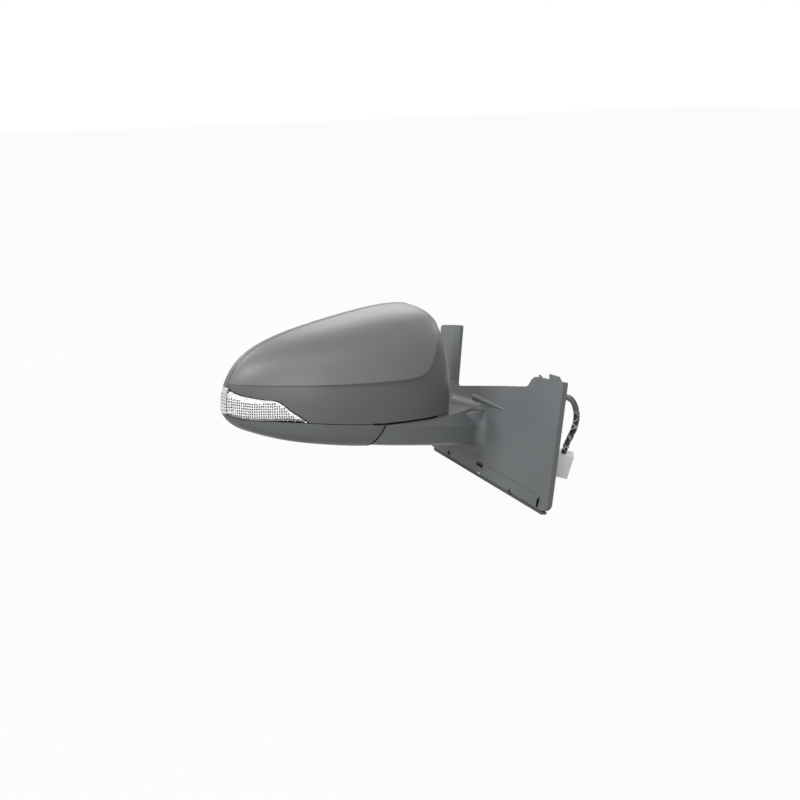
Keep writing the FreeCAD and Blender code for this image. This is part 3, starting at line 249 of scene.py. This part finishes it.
def lens_material():
    m = Nodes("clear_lens")
    haze = m.noise(60, 3)
    return m.surface(m.principled(
        Base_Color=(1, 1, 1, 1),
        Roughness=m.grey(haze, 0.02, 0.05),
        IOR=1.12,
        Transmission_Weight=1.0,
        Coat_Weight=1.0,
        Coat_Roughness=0.03,
        Normal=m.bump(m.noise(35, 2), 0.00005),
    ))


def reflector_material():
    m = Nodes("reflector")
    haze = m.noise(300, 3)
    return m.surface(m.principled(
        Base_Color=m.blend(haze, srgb(232, 233, 234), srgb(252, 252, 252)),
        Metallic=0.6,
        Roughness=m.grey(haze, 0.12, 0.22),
    ))


# painted reflection: the prisms' near-black colour stands in for the darkness that the real bright facets
# mirror
def dark_reflection_prism_material(name="prism"):
    m = Nodes(name)
    haze = m.noise(900, 2)
    return m.surface(m.principled(
        Base_Color=m.blend(haze, srgb(30, 31, 32), srgb(58, 60, 62)),
        Metallic=0.3,
        Roughness=m.grey(haze, 0.15, 0.3),
    ))


def wrap_material(name="lens_wrap"):
    m = Nodes(name)
    haze = m.noise(240, 3)
    return m.surface(m.principled(
        Base_Color=m.blend(haze, srgb(200, 202, 205), srgb(232, 234, 236)),
        Metallic=0.25,
        Roughness=m.grey(haze, 0.1, 0.2),
        Coat_Weight=1.0,
        Coat_Roughness=0.03,
    ))


def board_material():
    m = Nodes("board")
    tracks = m.add("TexBrick", Vector=m.add("TexCoord").outputs["Object"], Scale=160,
                   Color1=srgb(20, 84, 52), Color2=srgb(24, 96, 58), Mortar=srgb(60, 140, 92),
                   Mortar_Size=0.012)
    return m.surface(m.principled(
        Base_Color=tracks.outputs["Color"],
        Roughness=m.grey(m.noise(500), 0.25, 0.35),
        Normal=m.bump(tracks.outputs["Fac"], 0.00003),
    ))


def heater_material():
    m = Nodes("heater")
    lines = m.add("TexWave", {"wave_type": "BANDS"}, Vector=m.add("TexCoord").outputs["Object"], Scale=60)
    return m.surface(m.principled(
        Base_Color=m.ramp(lines.outputs["Color"], [(0.4, srgb(44, 44, 46)), (0.6, srgb(150, 98, 60))]),
        Roughness=m.grey(m.noise(400), 0.4, 0.5),
    ))


def mirror_material():
    m = Nodes("mirror_face")
    film = m.noise(20, 3)
    return m.surface(m.principled(
        Base_Color=m.blend(film, srgb(226, 231, 234), srgb(232, 236, 238)),
        Metallic=1.0,
        Roughness=m.grey(film, 0.012, 0.03),
    ))


def tape_material():
    """Cloth tape wound round the wires."""
    m = Nodes("cable_tape")
    weave = m.noise(1500, 3)
    wind = m.add("TexWave", {"wave_type": "BANDS", "bands_direction": "DIAGONAL"},
                 Vector=m.add("TexCoord").outputs["Object"], Scale=55, Distortion=1.5)
    first = m.bump(weave, 0.0001)
    return m.surface(m.principled(
        Base_Color=m.ramp(wind.outputs["Color"], [(0.2, srgb(34, 35, 37)), (0.8, srgb(58, 59, 62))]),
        Roughness=m.grey(weave, 0.5, 0.65),
        Normal=m.bump(wind.outputs["Fac"], 0.0004, 0.5, first),
    ))


MATERIAL_OF = {
    "base_shell": base_plastic,
    "base_frame": cast_alloy,
    "door_gasket": seal_rubber,
    "belt_seal": belt_rubber,
    "cable_grommet": seal_rubber,
    "trim_clip_1": base_plastic,
    "trim_clip_2": base_plastic,
    "door_cable": tape_material(),
    "plug_housing": white_nylon,
    "plug_pins": pin_brass,
    "skull_cap": primer_and_band_shade_material(),
    "lower_cover": cover_plastic,
    "visor_housing": visor_plastic,
    "turn_lens": lens_material(),
    "turn_reflector": reflector_material(),
    "turn_board": board_material(),
    "head_frame": black_plastic,
    "fold_motor": motor_can,
    "adjuster_case": black_plastic,
    "gimbal_ring": white_nylon,
    "tilt_jack": white_nylon,
    "pan_jack": white_nylon,
    "glass_carrier": black_plastic,
    "heater_pad": heater_material(),
    "mirror_glass": mirror_material(),
}
for name, thing in nodes.items():
    thing.data.materials.clear()
    thing.data.materials.append(MATERIAL_OF.get(name, steel))


# ---------------------------------------------------------------- the turn lamp's optics
LAMP_CENTRE = (-0.215, 0.105)   # the upright axis that the lens bends about
LAMP_START, LAMP_END = math.radians(12), math.radians(90)
RAY_START, RAY_REACH = 0.2, 0.16   # from that axis, and how far inwards a ray looks
LEVELS = 80                        # level steps over a solid's height
TURN_STEP = math.radians(0.25)
PRISM_PITCH = (0.0022, 0.0027)
PRISM_SIZE = (0.00160, 0.00195, 0.0006)
PRISM_SINK, PRISM_TOP = 0.0001, 0.35      # how deep a prism's base sits; its top over its base
GRID_FOOT, GRID_HEAD = 0.0038, 0.0018     # margins of the grid below and above
BLANK_FROM, BLANK_DEPTH = math.radians(56), 0.0032   # the blank zone over the grid's outer part


def tree_of(*names):
    """The named solids as one surface that rays can meet."""
    points, faces = [], []
    for name in names:
        mesh = nodes[name].data
        start = len(points)
        points += [vertex.co.copy() for vertex in mesh.vertices]
        faces += [[start + index for index in face.vertices] for face in mesh.polygons]
    return BVHTree.FromPolygons(points, faces)


def lamp_point(tree, turn, height):
    """Where a level line from far outside meets the surface, and its normal there."""
    outward = Vector((-math.sin(turn), -math.cos(turn), 0))
    start = Vector((*LAMP_CENTRE, height)) + outward * RAY_START
    spot, normal, _, _ = tree.ray_cast(start, -outward, RAY_REACH)
    return (spot, normal if normal.dot(outward) > 0 else -normal) if spot else None


def lamp_span(tree, turn, low, high):
    """Lowest and highest level at which the surface is met."""
    steps = [low + (high - low) * index / LEVELS for index in range(LEVELS + 1)]
    met = [level for level in steps if lamp_point(tree, turn, level)]
    return (met[0], met[-1]) if met else None


def lamp_turns(tree, pitch, low, high):
    """Turns whose points on the surface lie one pitch apart."""
    turns, last, turn = [], None, LAMP_START
    while turn < LAMP_END:
        span = lamp_span(tree, turn, low, high)
        if span:
            spot = lamp_point(tree, turn, (span[0] * 2 + span[1]) / 3)
            if spot and (last is None or (spot[0] - last).length > pitch):
                turns.append(turn)
                last = spot[0]
        turn += TURN_STEP
    return turns


def pyramid(tool, spot, normal, size):
    """A blunt four-sided prism; its size is width, height and rise."""
    along = Vector((0, 0, 1)).cross(normal).normalized()
    up = normal.cross(along).normalized()
    half_w, half_h, rise = size[0] / 2, size[1] / 2, size[2]
    corners = ((-1, -1), (1, -1), (1, 1), (-1, 1))
    base = [tool.verts.new(spot + along * a * half_w + up * b * half_h - normal * PRISM_SINK)
            for a, b in corners]
    top = [tool.verts.new(spot + along * a * half_w * PRISM_TOP + up * b * half_h * PRISM_TOP + normal * rise)
           for a, b in corners]
    tool.faces.new(top)
    tool.faces.new(base[::-1])
    for index in range(4):
        after = (index + 1) % 4
        tool.faces.new((base[index], base[after], top[after], top[index]))


def new_piece(name, tool, material, body):
    """Turns a bmesh into a piece that rides on a body."""
    mesh = bpy.data.meshes.new(name)
    bmesh.ops.recalc_face_normals(tool, faces=tool.faces)
    tool.to_mesh(mesh)
    tool.free()
    piece = bpy.data.objects.new(name, mesh)
    bpy.context.collection.objects.link(piece)
    mesh.materials.append(material)
    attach(piece, body)


def strip(tool, rows, thickness):
    """A closed band through rows of (point, normal), each row a line across the band."""
    front = [[tool.verts.new(spot + normal * thickness) for spot, normal in row] for row in rows]
    back = [[tool.verts.new(spot) for spot, normal in row] for row in rows]
    for a, b, c, e in zip(front, front[1:], back, back[1:]):
        for index in range(len(a) - 1):
            tool.faces.new((a[index], a[index + 1], b[index + 1], b[index]))
            tool.faces.new((c[index], e[index], e[index + 1], c[index + 1]))
        tool.faces.new((a[0], b[0], e[0], c[0]))
        tool.faces.new((a[-1], c[-1], e[-1], b[-1]))
    for a, c, way in ((front[0], back[0], 1), (front[-1], back[-1], -1)):
        for index in range(len(a) - 1):
            ring = (a[index], c[index], c[index + 1], a[index + 1])
            tool.faces.new(ring[::way])


def levels_of(name):
    """A solid's lowest and highest level."""
    low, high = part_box(name)
    return low[2], high[2]


def lamp_prisms():
    """The grid of prisms on the reflector."""
    tree, (low, high) = tree_of("turn_reflector"), levels_of("turn_reflector")
    tool = bmesh.new()
    for turn in lamp_turns(tree, PRISM_PITCH[0], low, high):
        span = lamp_span(tree, turn, low, high)
        level = span[0] + GRID_FOOT
        while level < span[1] - GRID_HEAD - (BLANK_DEPTH if turn > BLANK_FROM else 0):
            spot = lamp_point(tree, turn, level)
            if spot:
                pyramid(tool, *spot, PRISM_SIZE)
            level += PRISM_PITCH[1]
    new_piece("lamp_prisms", tool, dark_reflection_prism_material(), "head")


def lamp_band(name, solid, first, last, count, heights, thickness, material, narrowest=0.0):
    """A thin band along a lamp solid; heights below 0 are measured down from its upper edge."""
    tree, (low, high) = tree_of(solid), levels_of(solid)
    rows = []
    for step in range(count):
        turn = math.radians(first + (last - first) * step / (count - 1))
        span = lamp_span(tree, turn, low, high)
        if span and span[1] - span[0] >= narrowest:
            levels = [(span[1] if height < 0 else span[0]) + height for height in heights]
            row = [lamp_point(tree, turn, level) for level in levels]
            if all(row):
                rows.append(row)
    tool = bmesh.new()
    strip(tool, rows, thickness)
    new_piece(name, tool, material, "head")


WRAP_LOW, WRAP_HIGH, WRAP_RISE = 0.0524, 0.0796, 0.0003   # levels, and how the top climbs per degree
WRAP_LEVEL_AT = 86                                        # the turn in degrees at which it is WRAP_HIGH
WRAP_TURNS = (84.7, 85.1, 86.2, 87, 88, 89, 89.8)
WRAP_ROWS = 16
WRAP_PRISM = (0.00115, 0.00135, 0.0003)
SKIN = 0.0002                                             # thickness of the wrap and the return
RETURN_LOW, RETURN_TALL, RETURN_ROWS = 0.0535, 0.0235, 16
RETURN_NEAR, RETURN_FAR = math.radians(80.5), math.radians(85.0)
RETURN_SET_BACK = 0.0006                                  # behind the lens's outer face
RETURN_PRISMS = (0.25, 0.6, 0.92)                         # their places across the return


def lamp_wrap():
    """The lens's outer end, which laps over the visor's band."""
    tree = tree_of("turn_lens", "visor_housing")
    tool = bmesh.new()
    rows = []
    for degrees in WRAP_TURNS:
        turn = math.radians(degrees)
        low, high = WRAP_LOW, WRAP_HIGH + WRAP_RISE * (degrees - WRAP_LEVEL_AT)
        levels = [low + (high - low) * index / WRAP_ROWS for index in range(WRAP_ROWS + 1)]
        row = [lamp_point(tree, turn, level) for level in levels]
        if all(row):
            rows.append(row)
    strip(tool, rows, SKIN)
    new_piece("lens_wrap", tool, wrap_material(), "head")
    tool = bmesh.new()
    for row in rows[::2]:
        for spot, normal in row[2:-4:2]:
            pyramid(tool, spot + normal * SKIN, normal, WRAP_PRISM)
    new_piece("wrap_prisms", tool, dark_reflection_prism_material("wrap_prism"), "head")


def lamp_return():
    """The reflector's bright return, which closes the lamp's outer end behind the lens."""
    inner, outer = tree_of("turn_reflector"), tree_of("turn_lens")
    rows = []
    for index in range(RETURN_ROWS + 1):
        level = RETURN_LOW + RETURN_TALL * index / RETURN_ROWS
        near = lamp_point(inner, RETURN_NEAR, level)
        far = lamp_point(outer, RETURN_FAR, level)
        if near and far:
            edge = far[0] - far[1] * RETURN_SET_BACK
            rows.append([(near[0], near[1]), (near[0].lerp(edge, 0.5), near[1]), (edge, near[1])])
    tool = bmesh.new()
    strip(tool, rows, SKIN)
    new_piece("lamp_return", tool, wrap_material("lamp_return"), "head")
    tool = bmesh.new()
    for row in rows[2:-3:2]:
        for share in RETURN_PRISMS:
            pyramid(tool, row[0][0].lerp(row[2][0], share) + row[0][1] * SKIN, row[0][1], PRISM_SIZE)
    new_piece("return_prisms", tool, dark_reflection_prism_material("return_prism"), "head")


lamp_prisms()
lamp_band("lamp_ledge", "turn_reflector", 14, 86, 60, (0.0001, 0.0023), 0.00025, ledge_plastic, 0.002)
lamp_band("light_guide", "turn_reflector", 56, 86, 30, (-0.0046, -0.0038, -0.0028, -0.0022), 0.00025,
          guide_plastic)
lamp_wrap()
lamp_return()
lamp_band("lens_foot", "turn_lens", 13.2, 84.8, 90, (0.0, 0.0007, 0.0013), 0.00015, ledge_plastic, 0.0012)


# ---------------------------------------------------------------- seams, slots and small parts
SEAM = ((-.01, .226), (.096, .236), (.181, .224), (.261, .218), (.400, .222), (.478, .232), (.651, .257),
        (.731, .270), (.884, .282), (.952, .291), (.992, .316))   # fractions of the head, outwards and up
LENS_TOP = ((.731, .274), (.767, .325), (.795, .363), (.822, .409), (.843, .431), (.875, .437),
            (.920, .452), (.952, .466), (.974, .490), (.988, .534))
# radii of the black strips of painted shade along the seams
SEAM_BEAD, SPLIT_BEAD, LENS_BEAD = 0.0009, 0.0008, 0.0005
FOOT_TOP = 0.0367                  # the head turns above this level
FOOT_CLEAR = 0.0004                # a shade strip's clearance over it
SEAM_LIFT = 0.0003                 # a shade strip's middle above the line it follows
SEAM_CENTRE = (-0.17, 0.105)       # the upright axis that the seam is looked for from
SEAM_START, SEAM_REACH = 0.25, 0.24
SEAM_STEPS, SEAM_ROUNDS = 90, 6    # points along a lip; rounds in which its level settles
SPLIT_TOP, SPLIT_DROP, SPLIT_STEPS = 0.0358, 0.0265, 22
SPLIT_FROM, SPLIT_STEP, SPLIT_TRIES = -0.185, 0.0004, 300   # the search for the cover's edge along X
SPLIT_SHIFT = Vector((0.0005, 0.0001, 0))
SPLIT_FRONT, SPLIT_REACH = -0.1, 0.17
FORE = Vector((0, 1, 0))


def level_on(line, x):
    """The level of a line of fractions at a place along the head."""
    along = (HEAD_INNER_X - x) / HEAD_WIDTH
    along = min(max(along, line[0][0]), line[-1][0])
    for (start, low), (end, high) in zip(line, line[1:]):
        if along <= end:
            return HEAD_LOW_Z + HEAD_HEIGHT * (low + (high - low) * (along - start) / (end - start))


def curve_piece(name, points, resolution):
    """A smooth open curve along its control points, with no thickness yet."""
    data = bpy.data.curves.new(name, "CURVE")
    data.dimensions = "3D"
    spline = data.splines.new("NURBS")
    spline.points.add(len(points) - 1)
    for point, place in zip(spline.points, points):
        point.co = (*place, 1.0)
    spline.order_u = 3
    spline.use_endpoint_u = True
    spline.resolution_u = resolution
    piece = bpy.data.objects.new(name, data)
    bpy.context.collection.objects.link(piece)
    return piece


def thicken(piece, radius, roundness, material):
    """Turns a curve into a round cord with closed ends."""
    piece.data.bevel_depth = radius
    piece.data.bevel_resolution = roundness
    piece.data.use_fill_caps = True
    piece.data.materials.append(material)


def bead(name, points, radius, body, material):
    piece = curve_piece(name, points, 2)
    thicken(piece, radius, 2, material)
    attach(piece, body)
    return piece


def seam_bead(name, line, solids, first, last, rise, radius):
    """A black strip of painted shade in a joint of the head's skins, along a line of the front view, standing
    in for the shadow in the gap.
    """
    tree = tree_of(*solids)
    points = []
    for step in range(SEAM_STEPS):
        turn = math.radians(first + (last - first) * step / (SEAM_STEPS - 1))
        outward = Vector((-math.sin(turn), -math.cos(turn), 0))
        level, spot = HEAD_LOW_Z + line[0][1] * HEAD_HEIGHT, None
        for _ in range(SEAM_ROUNDS):
            start = Vector((*SEAM_CENTRE, level + rise)) + outward * SEAM_START
            spot = tree.ray_cast(start, -outward, SEAM_REACH)[0]
            if spot is None:
                break
            level = level_on(line, spot.x)
        if spot is not None and line[0][0] <= (HEAD_INNER_X - spot.x) / HEAD_WIDTH <= line[-1][0]:
            points.append((spot.x, spot.y, max(level + SEAM_LIFT, FOOT_TOP + radius + FOOT_CLEAR)))
    bead(name, points, radius, "head", gap_shade_black)


def split_bead():
    """A black strip of painted shade in the joint between the lower cover and the foot, standing in for the
    shadow in the gap.
    """
    cover, foot = tree_of("lower_cover"), tree_of("base_shell")
    points = []
    for step in range(SPLIT_STEPS):
        level = SPLIT_TOP - SPLIT_DROP * step / (SPLIT_STEPS - 1)
        edge = None
        for index in range(SPLIT_TRIES):
            start = Vector((SPLIT_FROM + SPLIT_STEP * index, SPLIT_FRONT, level))
            near = cover.ray_cast(start, FORE, SPLIT_REACH)
            far = foot.ray_cast(start, FORE, SPLIT_REACH)
            if near[0] and (far[0] is None or near[3] < far[3]):
                edge = near[0]
        if edge:
            points.append(edge + SPLIT_SHIFT)
    bead("split_shade", points, SPLIT_BEAD, "head", gap_shade_black)


seam_bead("seam_shade", SEAM, ("skull_cap", "turn_lens"), -58, 90, 0.001, SEAM_BEAD)
seam_bead("lens_shade", LENS_TOP, ("skull_cap",), 40, 90, 0.0015, LENS_BEAD)
split_bead()

# Slots of the sail, each from (y, z) to (y, z) and its width.
SLOT_LINES = (((0.0330, -0.0248), (0.0224, -0.0266), 0.0018),
              ((-0.0800, -0.0415), (-0.0780, -0.0505), 0.0022),
              ((-0.0276, -0.0422), (-0.0315, -0.0456), 0.0014),
              ((0.0880, -0.0216), (0.0845, -0.0240), 0.0016))
PALE_CLIP = ((0.0298, -0.0338), (0.0262, -0.0346), 0.0014)
STRIP_SHARE = 0.62                # half a strip's width over the slot's
STRIP_STEPS = 8
STRIP_LIFT, STRIP_THICK = 0.0004, 0.0005
STRIP_LOOKS = (1.0, 1.6, 2.4)     # how far out a ray tries for the skin beside a slot
SAIL_START, SAIL_REACH = -0.2, 0.3
OUTBOARD = Vector((-1, 0, 0))


def sail_marks():
    """Dark strips of painted shade in the sail's clip slots, and the pale clip in its lower edge."""
    tree = tree_of("base_shell", "belt_seal")
    for number, (start, end, width) in enumerate((*SLOT_LINES, PALE_CLIP)):
        first, last = Vector((SAIL_START, *start)), Vector((SAIL_START, *end))
        away = Vector((0, end[0] - start[0], end[1] - start[1])).normalized()
        side = Vector((0, -away.z, away.y)) * width * STRIP_SHARE
        rows = []
        for index in range(STRIP_STEPS):
            spot = first.lerp(last, index / (STRIP_STEPS - 1))
            row = []
            for share in (-1, 1):
                edge = spot + side * share
                for reach in STRIP_LOOKS:
                    met = tree.ray_cast(spot + side * share * reach, -OUTBOARD, SAIL_REACH)
                    if met[0]:
                        break
                row.append((Vector((met[0].x if met[0] else 0, edge.y, edge.z)), OUTBOARD))
            rows.append(row)
        level = min(spot.x for row in rows for spot, _ in row) + STRIP_LIFT
        rows = [[(Vector((level, spot.y, spot.z)), normal) for spot, normal in row] for row in rows]
        tool = bmesh.new()
        strip(tool, rows, STRIP_THICK)
        if number < len(SLOT_LINES):
            # the slot strips are painted shade, standing in for the dark depth of each slot
            new_piece("slot_shade_%d" % (number + 1), tool, gap_shade_black, "base")
        else:
            new_piece("pale_clip", tool, white_nylon, "base")


sail_marks()


# ---------------------------------------------------------------- the cable
CABLE_ROUTE = (
    (0.0110, -0.030, 0.04887),
    (0.02186, -0.030, 0.04711),
    (0.0315, -0.0335, 0.050),
    (0.0376, -0.041, 0.0545),
    (0.040, -0.051, 0.0573),
    (0.0397, -0.0612, 0.0548),
    (0.0386, -0.0682, 0.0475),
    (0.0375, -0.071, 0.0375),
    (0.0364, -0.069, 0.027),
    (0.0354, -0.064, 0.017),
    (0.0346, -0.058, 0.0075),
    (0.0342, -0.054, -0.003),
)
CABLE_WIDTH = 0.006
SLEEVE_SHARE, SLEEVE_WALL = 0.6, 0.0003   # the sleeve's share of the cable, from the grommet
WIRE_RADIUS, WIRE_SINK = 0.0006, 0.0001
WIRES = ((0.0, 0.024, wire_black), (0.7, 0.019, wire_pale), (1.5, 0.028, wire_black),
         (2.4, 0.022, wire_black), (3.1, 0.017, wire_pale), (3.9, 0.026, wire_black),
         (4.9, 0.021, wire_black), (5.5, -0.016, wire_pale), (1.0, -0.013, wire_pale))   # turn, pitch


def route_points(piece):
    """Points along the cable's own line, read from its spline."""
    piece.data.bevel_depth = 0
    mesh = bpy.data.meshes.new_from_object(piece)
    points = [vertex.co.copy() for vertex in mesh.vertices]
    bpy.data.meshes.remove(mesh)
    return points


def strand(name, points, turn, radius, thickness, pitch, material):
    """A wire wound round the cable's line."""
    across = (points[1] - points[0]).orthogonal().normalized()
    travelled, path = 0.0, []
    for index, point in enumerate(points):
        ahead = points[min(index + 1, len(points) - 1)] - points[max(index - 1, 0)]
        ahead.normalize()
        across = (across - ahead * across.dot(ahead)).normalized()
        if index:
            travelled += (point - points[index - 1]).length
        angle = turn + travelled / pitch * math.tau
        path.append(point + (across * math.cos(angle) + ahead.cross(across) * math.sin(angle)) * radius)
    return bead(name, path, thickness, "base", material)


def cable():
    piece = curve_piece("cable_run", CABLE_ROUTE, 12)
    points = route_points(piece)
    thicken(piece, CABLE_WIDTH / 2, 5, MATERIAL_OF["door_cable"])
    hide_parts("door_cable")
    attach(piece, "base")
    middle = int(len(points) * SLEEVE_SHARE)
    extra = [bead("cable_sleeve", points[:middle:6] + [points[middle]], CABLE_WIDTH / 2 + SLEEVE_WALL, "base",
                  sleeve_plastic)]
    for number, (turn, pitch, colour) in enumerate(WIRES, 1):
        extra.append(strand("cable_wire_%d" % number, points[middle - 2:], turn,
                            CABLE_WIDTH / 2 - WIRE_SINK, WIRE_RADIUS, pitch, colour))


cable()


# ---------------------------------------------------------------- the stage, the light, the camera
STAGE_REACH, STAGE_DROP = 6.0, 0.002      # half the floor's side; how far it lies below the part
STAGE_WHITE = 0.96                        # how much of the floor's own white the camera sees
WORLD_LIGHT, WORLD_GLOSS = 0.04, 0.6      # the world's plain light; its white in glossy faces
LAMP_AIM, LAMP_SIDE = (-0.1, 0.02, 0.02), 0.9
LAMPS = (  # name, place, watts
    ("key", (-1.6, -0.03, 1.42), 25),
    ("front", (-1.19, -1.54, 0.52), 11),
    ("overhead", (-0.43, -0.97, 1.62), 6),
    ("side", (0.08, -1.82, 0.52), 3),
    ("rim", (0.88, 1.41, 1.12), 8.6),
    ("rear_left", (-0.53, 1.67, 1.02), 17),
    ("rear_right", (1.57, 0.31, 1.02), 6.5),
)
VIEW_TURN = math.radians(35)
VIEW_DROP = math.radians(12)
TARGET = Vector((-0.110, 0.020, 0.020))
VIEW_RANGE = 2.2
SENSOR, LENS = 36, 93.06
VIEW_SHIFT = (-0.0183, 0.0449)


def stage_material():
    """White to the eye, glass and metal; plain diffuse to everything else, so the shadow stays."""
    m = Nodes("stage_white")
    path = m.add("LightPath")
    seen = m.add("Math", {"operation": "ADD"})
    m.put(seen, 0, path.outputs["Is Camera Ray"])
    m.put(seen, 1, path.outputs["Is Glossy Ray"])
    both = m.add("Math", {"operation": "ADD", "use_clamp": True})
    m.put(both, 0, seen.outputs[0])
    m.put(both, 1, path.outputs["Is Transmission Ray"])
    fade = m.add("Math", {"operation": "MULTIPLY"})
    m.put(fade, 0, both.outputs[0])
    m.put(fade, 1, STAGE_WHITE)
    paper_grey = m.ramp(m.noise(3), [(0, srgb(150, 150, 150)), (1, srgb(156, 156, 156))])
    paper = m.add("BsdfDiffuse", Color=paper_grey)
    glow = m.add("Emission", Color=(1, 1, 1, 1), Strength=1.0)
    mix = m.add("MixShader", None, Fac=fade.outputs[0])
    m.put(mix, 1, paper.outputs[0])
    m.put(mix, 2, glow.outputs[0])
    return m.surface(mix.outputs[0])


def make_stage():
    mesh = bpy.data.meshes.new("floor")
    tool = bmesh.new()
    corners = [tool.verts.new((a * STAGE_REACH, b * STAGE_REACH, CAD_BOX[0][2] - STAGE_DROP))
               for a, b in ((-1, -1), (1, -1), (1, 1), (-1, 1))]
    tool.faces.new(corners)
    tool.to_mesh(mesh)
    tool.free()
    floor = bpy.data.objects.new("floor", mesh)
    bpy.context.collection.objects.link(floor)
    mesh.materials.append(stage_material())


def make_world():
    """White to the camera and in glass, a little less in gloss, and a faint plain light."""
    world = bpy.data.worlds.new("studio")
    bpy.context.scene.world = world
    world.use_nodes = True
    tree = world.node_tree
    back = tree.nodes["Background"]
    back.inputs["Strength"].default_value = WORLD_LIGHT
    back.inputs["Color"].default_value = (1, 1, 1, 1)
    bright = tree.nodes.new("ShaderNodeBackground")
    bright.inputs["Strength"].default_value = 1.0
    bright.inputs["Color"].default_value = (1, 1, 1, 1)
    path = tree.nodes.new("ShaderNodeLightPath")
    first = tree.nodes.new("ShaderNodeMath")
    first.operation = "ADD"
    tree.links.new(path.outputs["Is Camera Ray"], first.inputs[0])
    tree.links.new(path.outputs["Is Transmission Ray"], first.inputs[1])
    shiny = tree.nodes.new("ShaderNodeMath")
    shiny.operation = "MULTIPLY_ADD"
    shiny.use_clamp = True
    tree.links.new(path.outputs["Is Glossy Ray"], shiny.inputs[0])
    shiny.inputs[1].default_value = WORLD_GLOSS
    tree.links.new(first.outputs[0], shiny.inputs[2])
    mix = tree.nodes.new("ShaderNodeMixShader")
    tree.links.new(shiny.outputs[0], mix.inputs[0])
    tree.links.new(back.outputs[0], mix.inputs[1])
    tree.links.new(bright.outputs[0], mix.inputs[2])
    tree.links.new(mix.outputs[0], tree.nodes["World Output"].inputs["Surface"])


def area_light(name, place, power):
    data = bpy.data.lights.new(name, "AREA")
    data.shape = "RECTANGLE"
    data.size = data.size_y = LAMP_SIDE
    data.energy = power
    lamp = bpy.data.objects.new(name, data)
    lamp.location = place
    lamp.rotation_mode = "QUATERNION"
    lamp.rotation_quaternion = (Vector(LAMP_AIM) - Vector(place)).to_track_quat("-Z", "Y")
    bpy.context.collection.objects.link(lamp)


def make_camera():
    data = bpy.data.cameras.new("camera")
    data.sensor_width = SENSOR
    data.lens = LENS
    data.shift_x, data.shift_y = VIEW_SHIFT
    camera = bpy.data.objects.new("camera", data)
    look = Vector((math.sin(VIEW_TURN) * math.cos(VIEW_DROP),
                   math.cos(VIEW_TURN) * math.cos(VIEW_DROP), -math.sin(VIEW_DROP)))
    camera.location = TARGET - look * VIEW_RANGE
    camera.rotation_mode = "QUATERNION"
    camera.rotation_quaternion = look.to_track_quat("-Z", "Y")
    bpy.context.collection.objects.link(camera)
    bpy.context.scene.camera = camera


make_stage()
make_world()
for lamp in LAMPS:
    area_light(*lamp)
make_camera()
bpy.context.scene.view_settings.view_transform = "Standard"
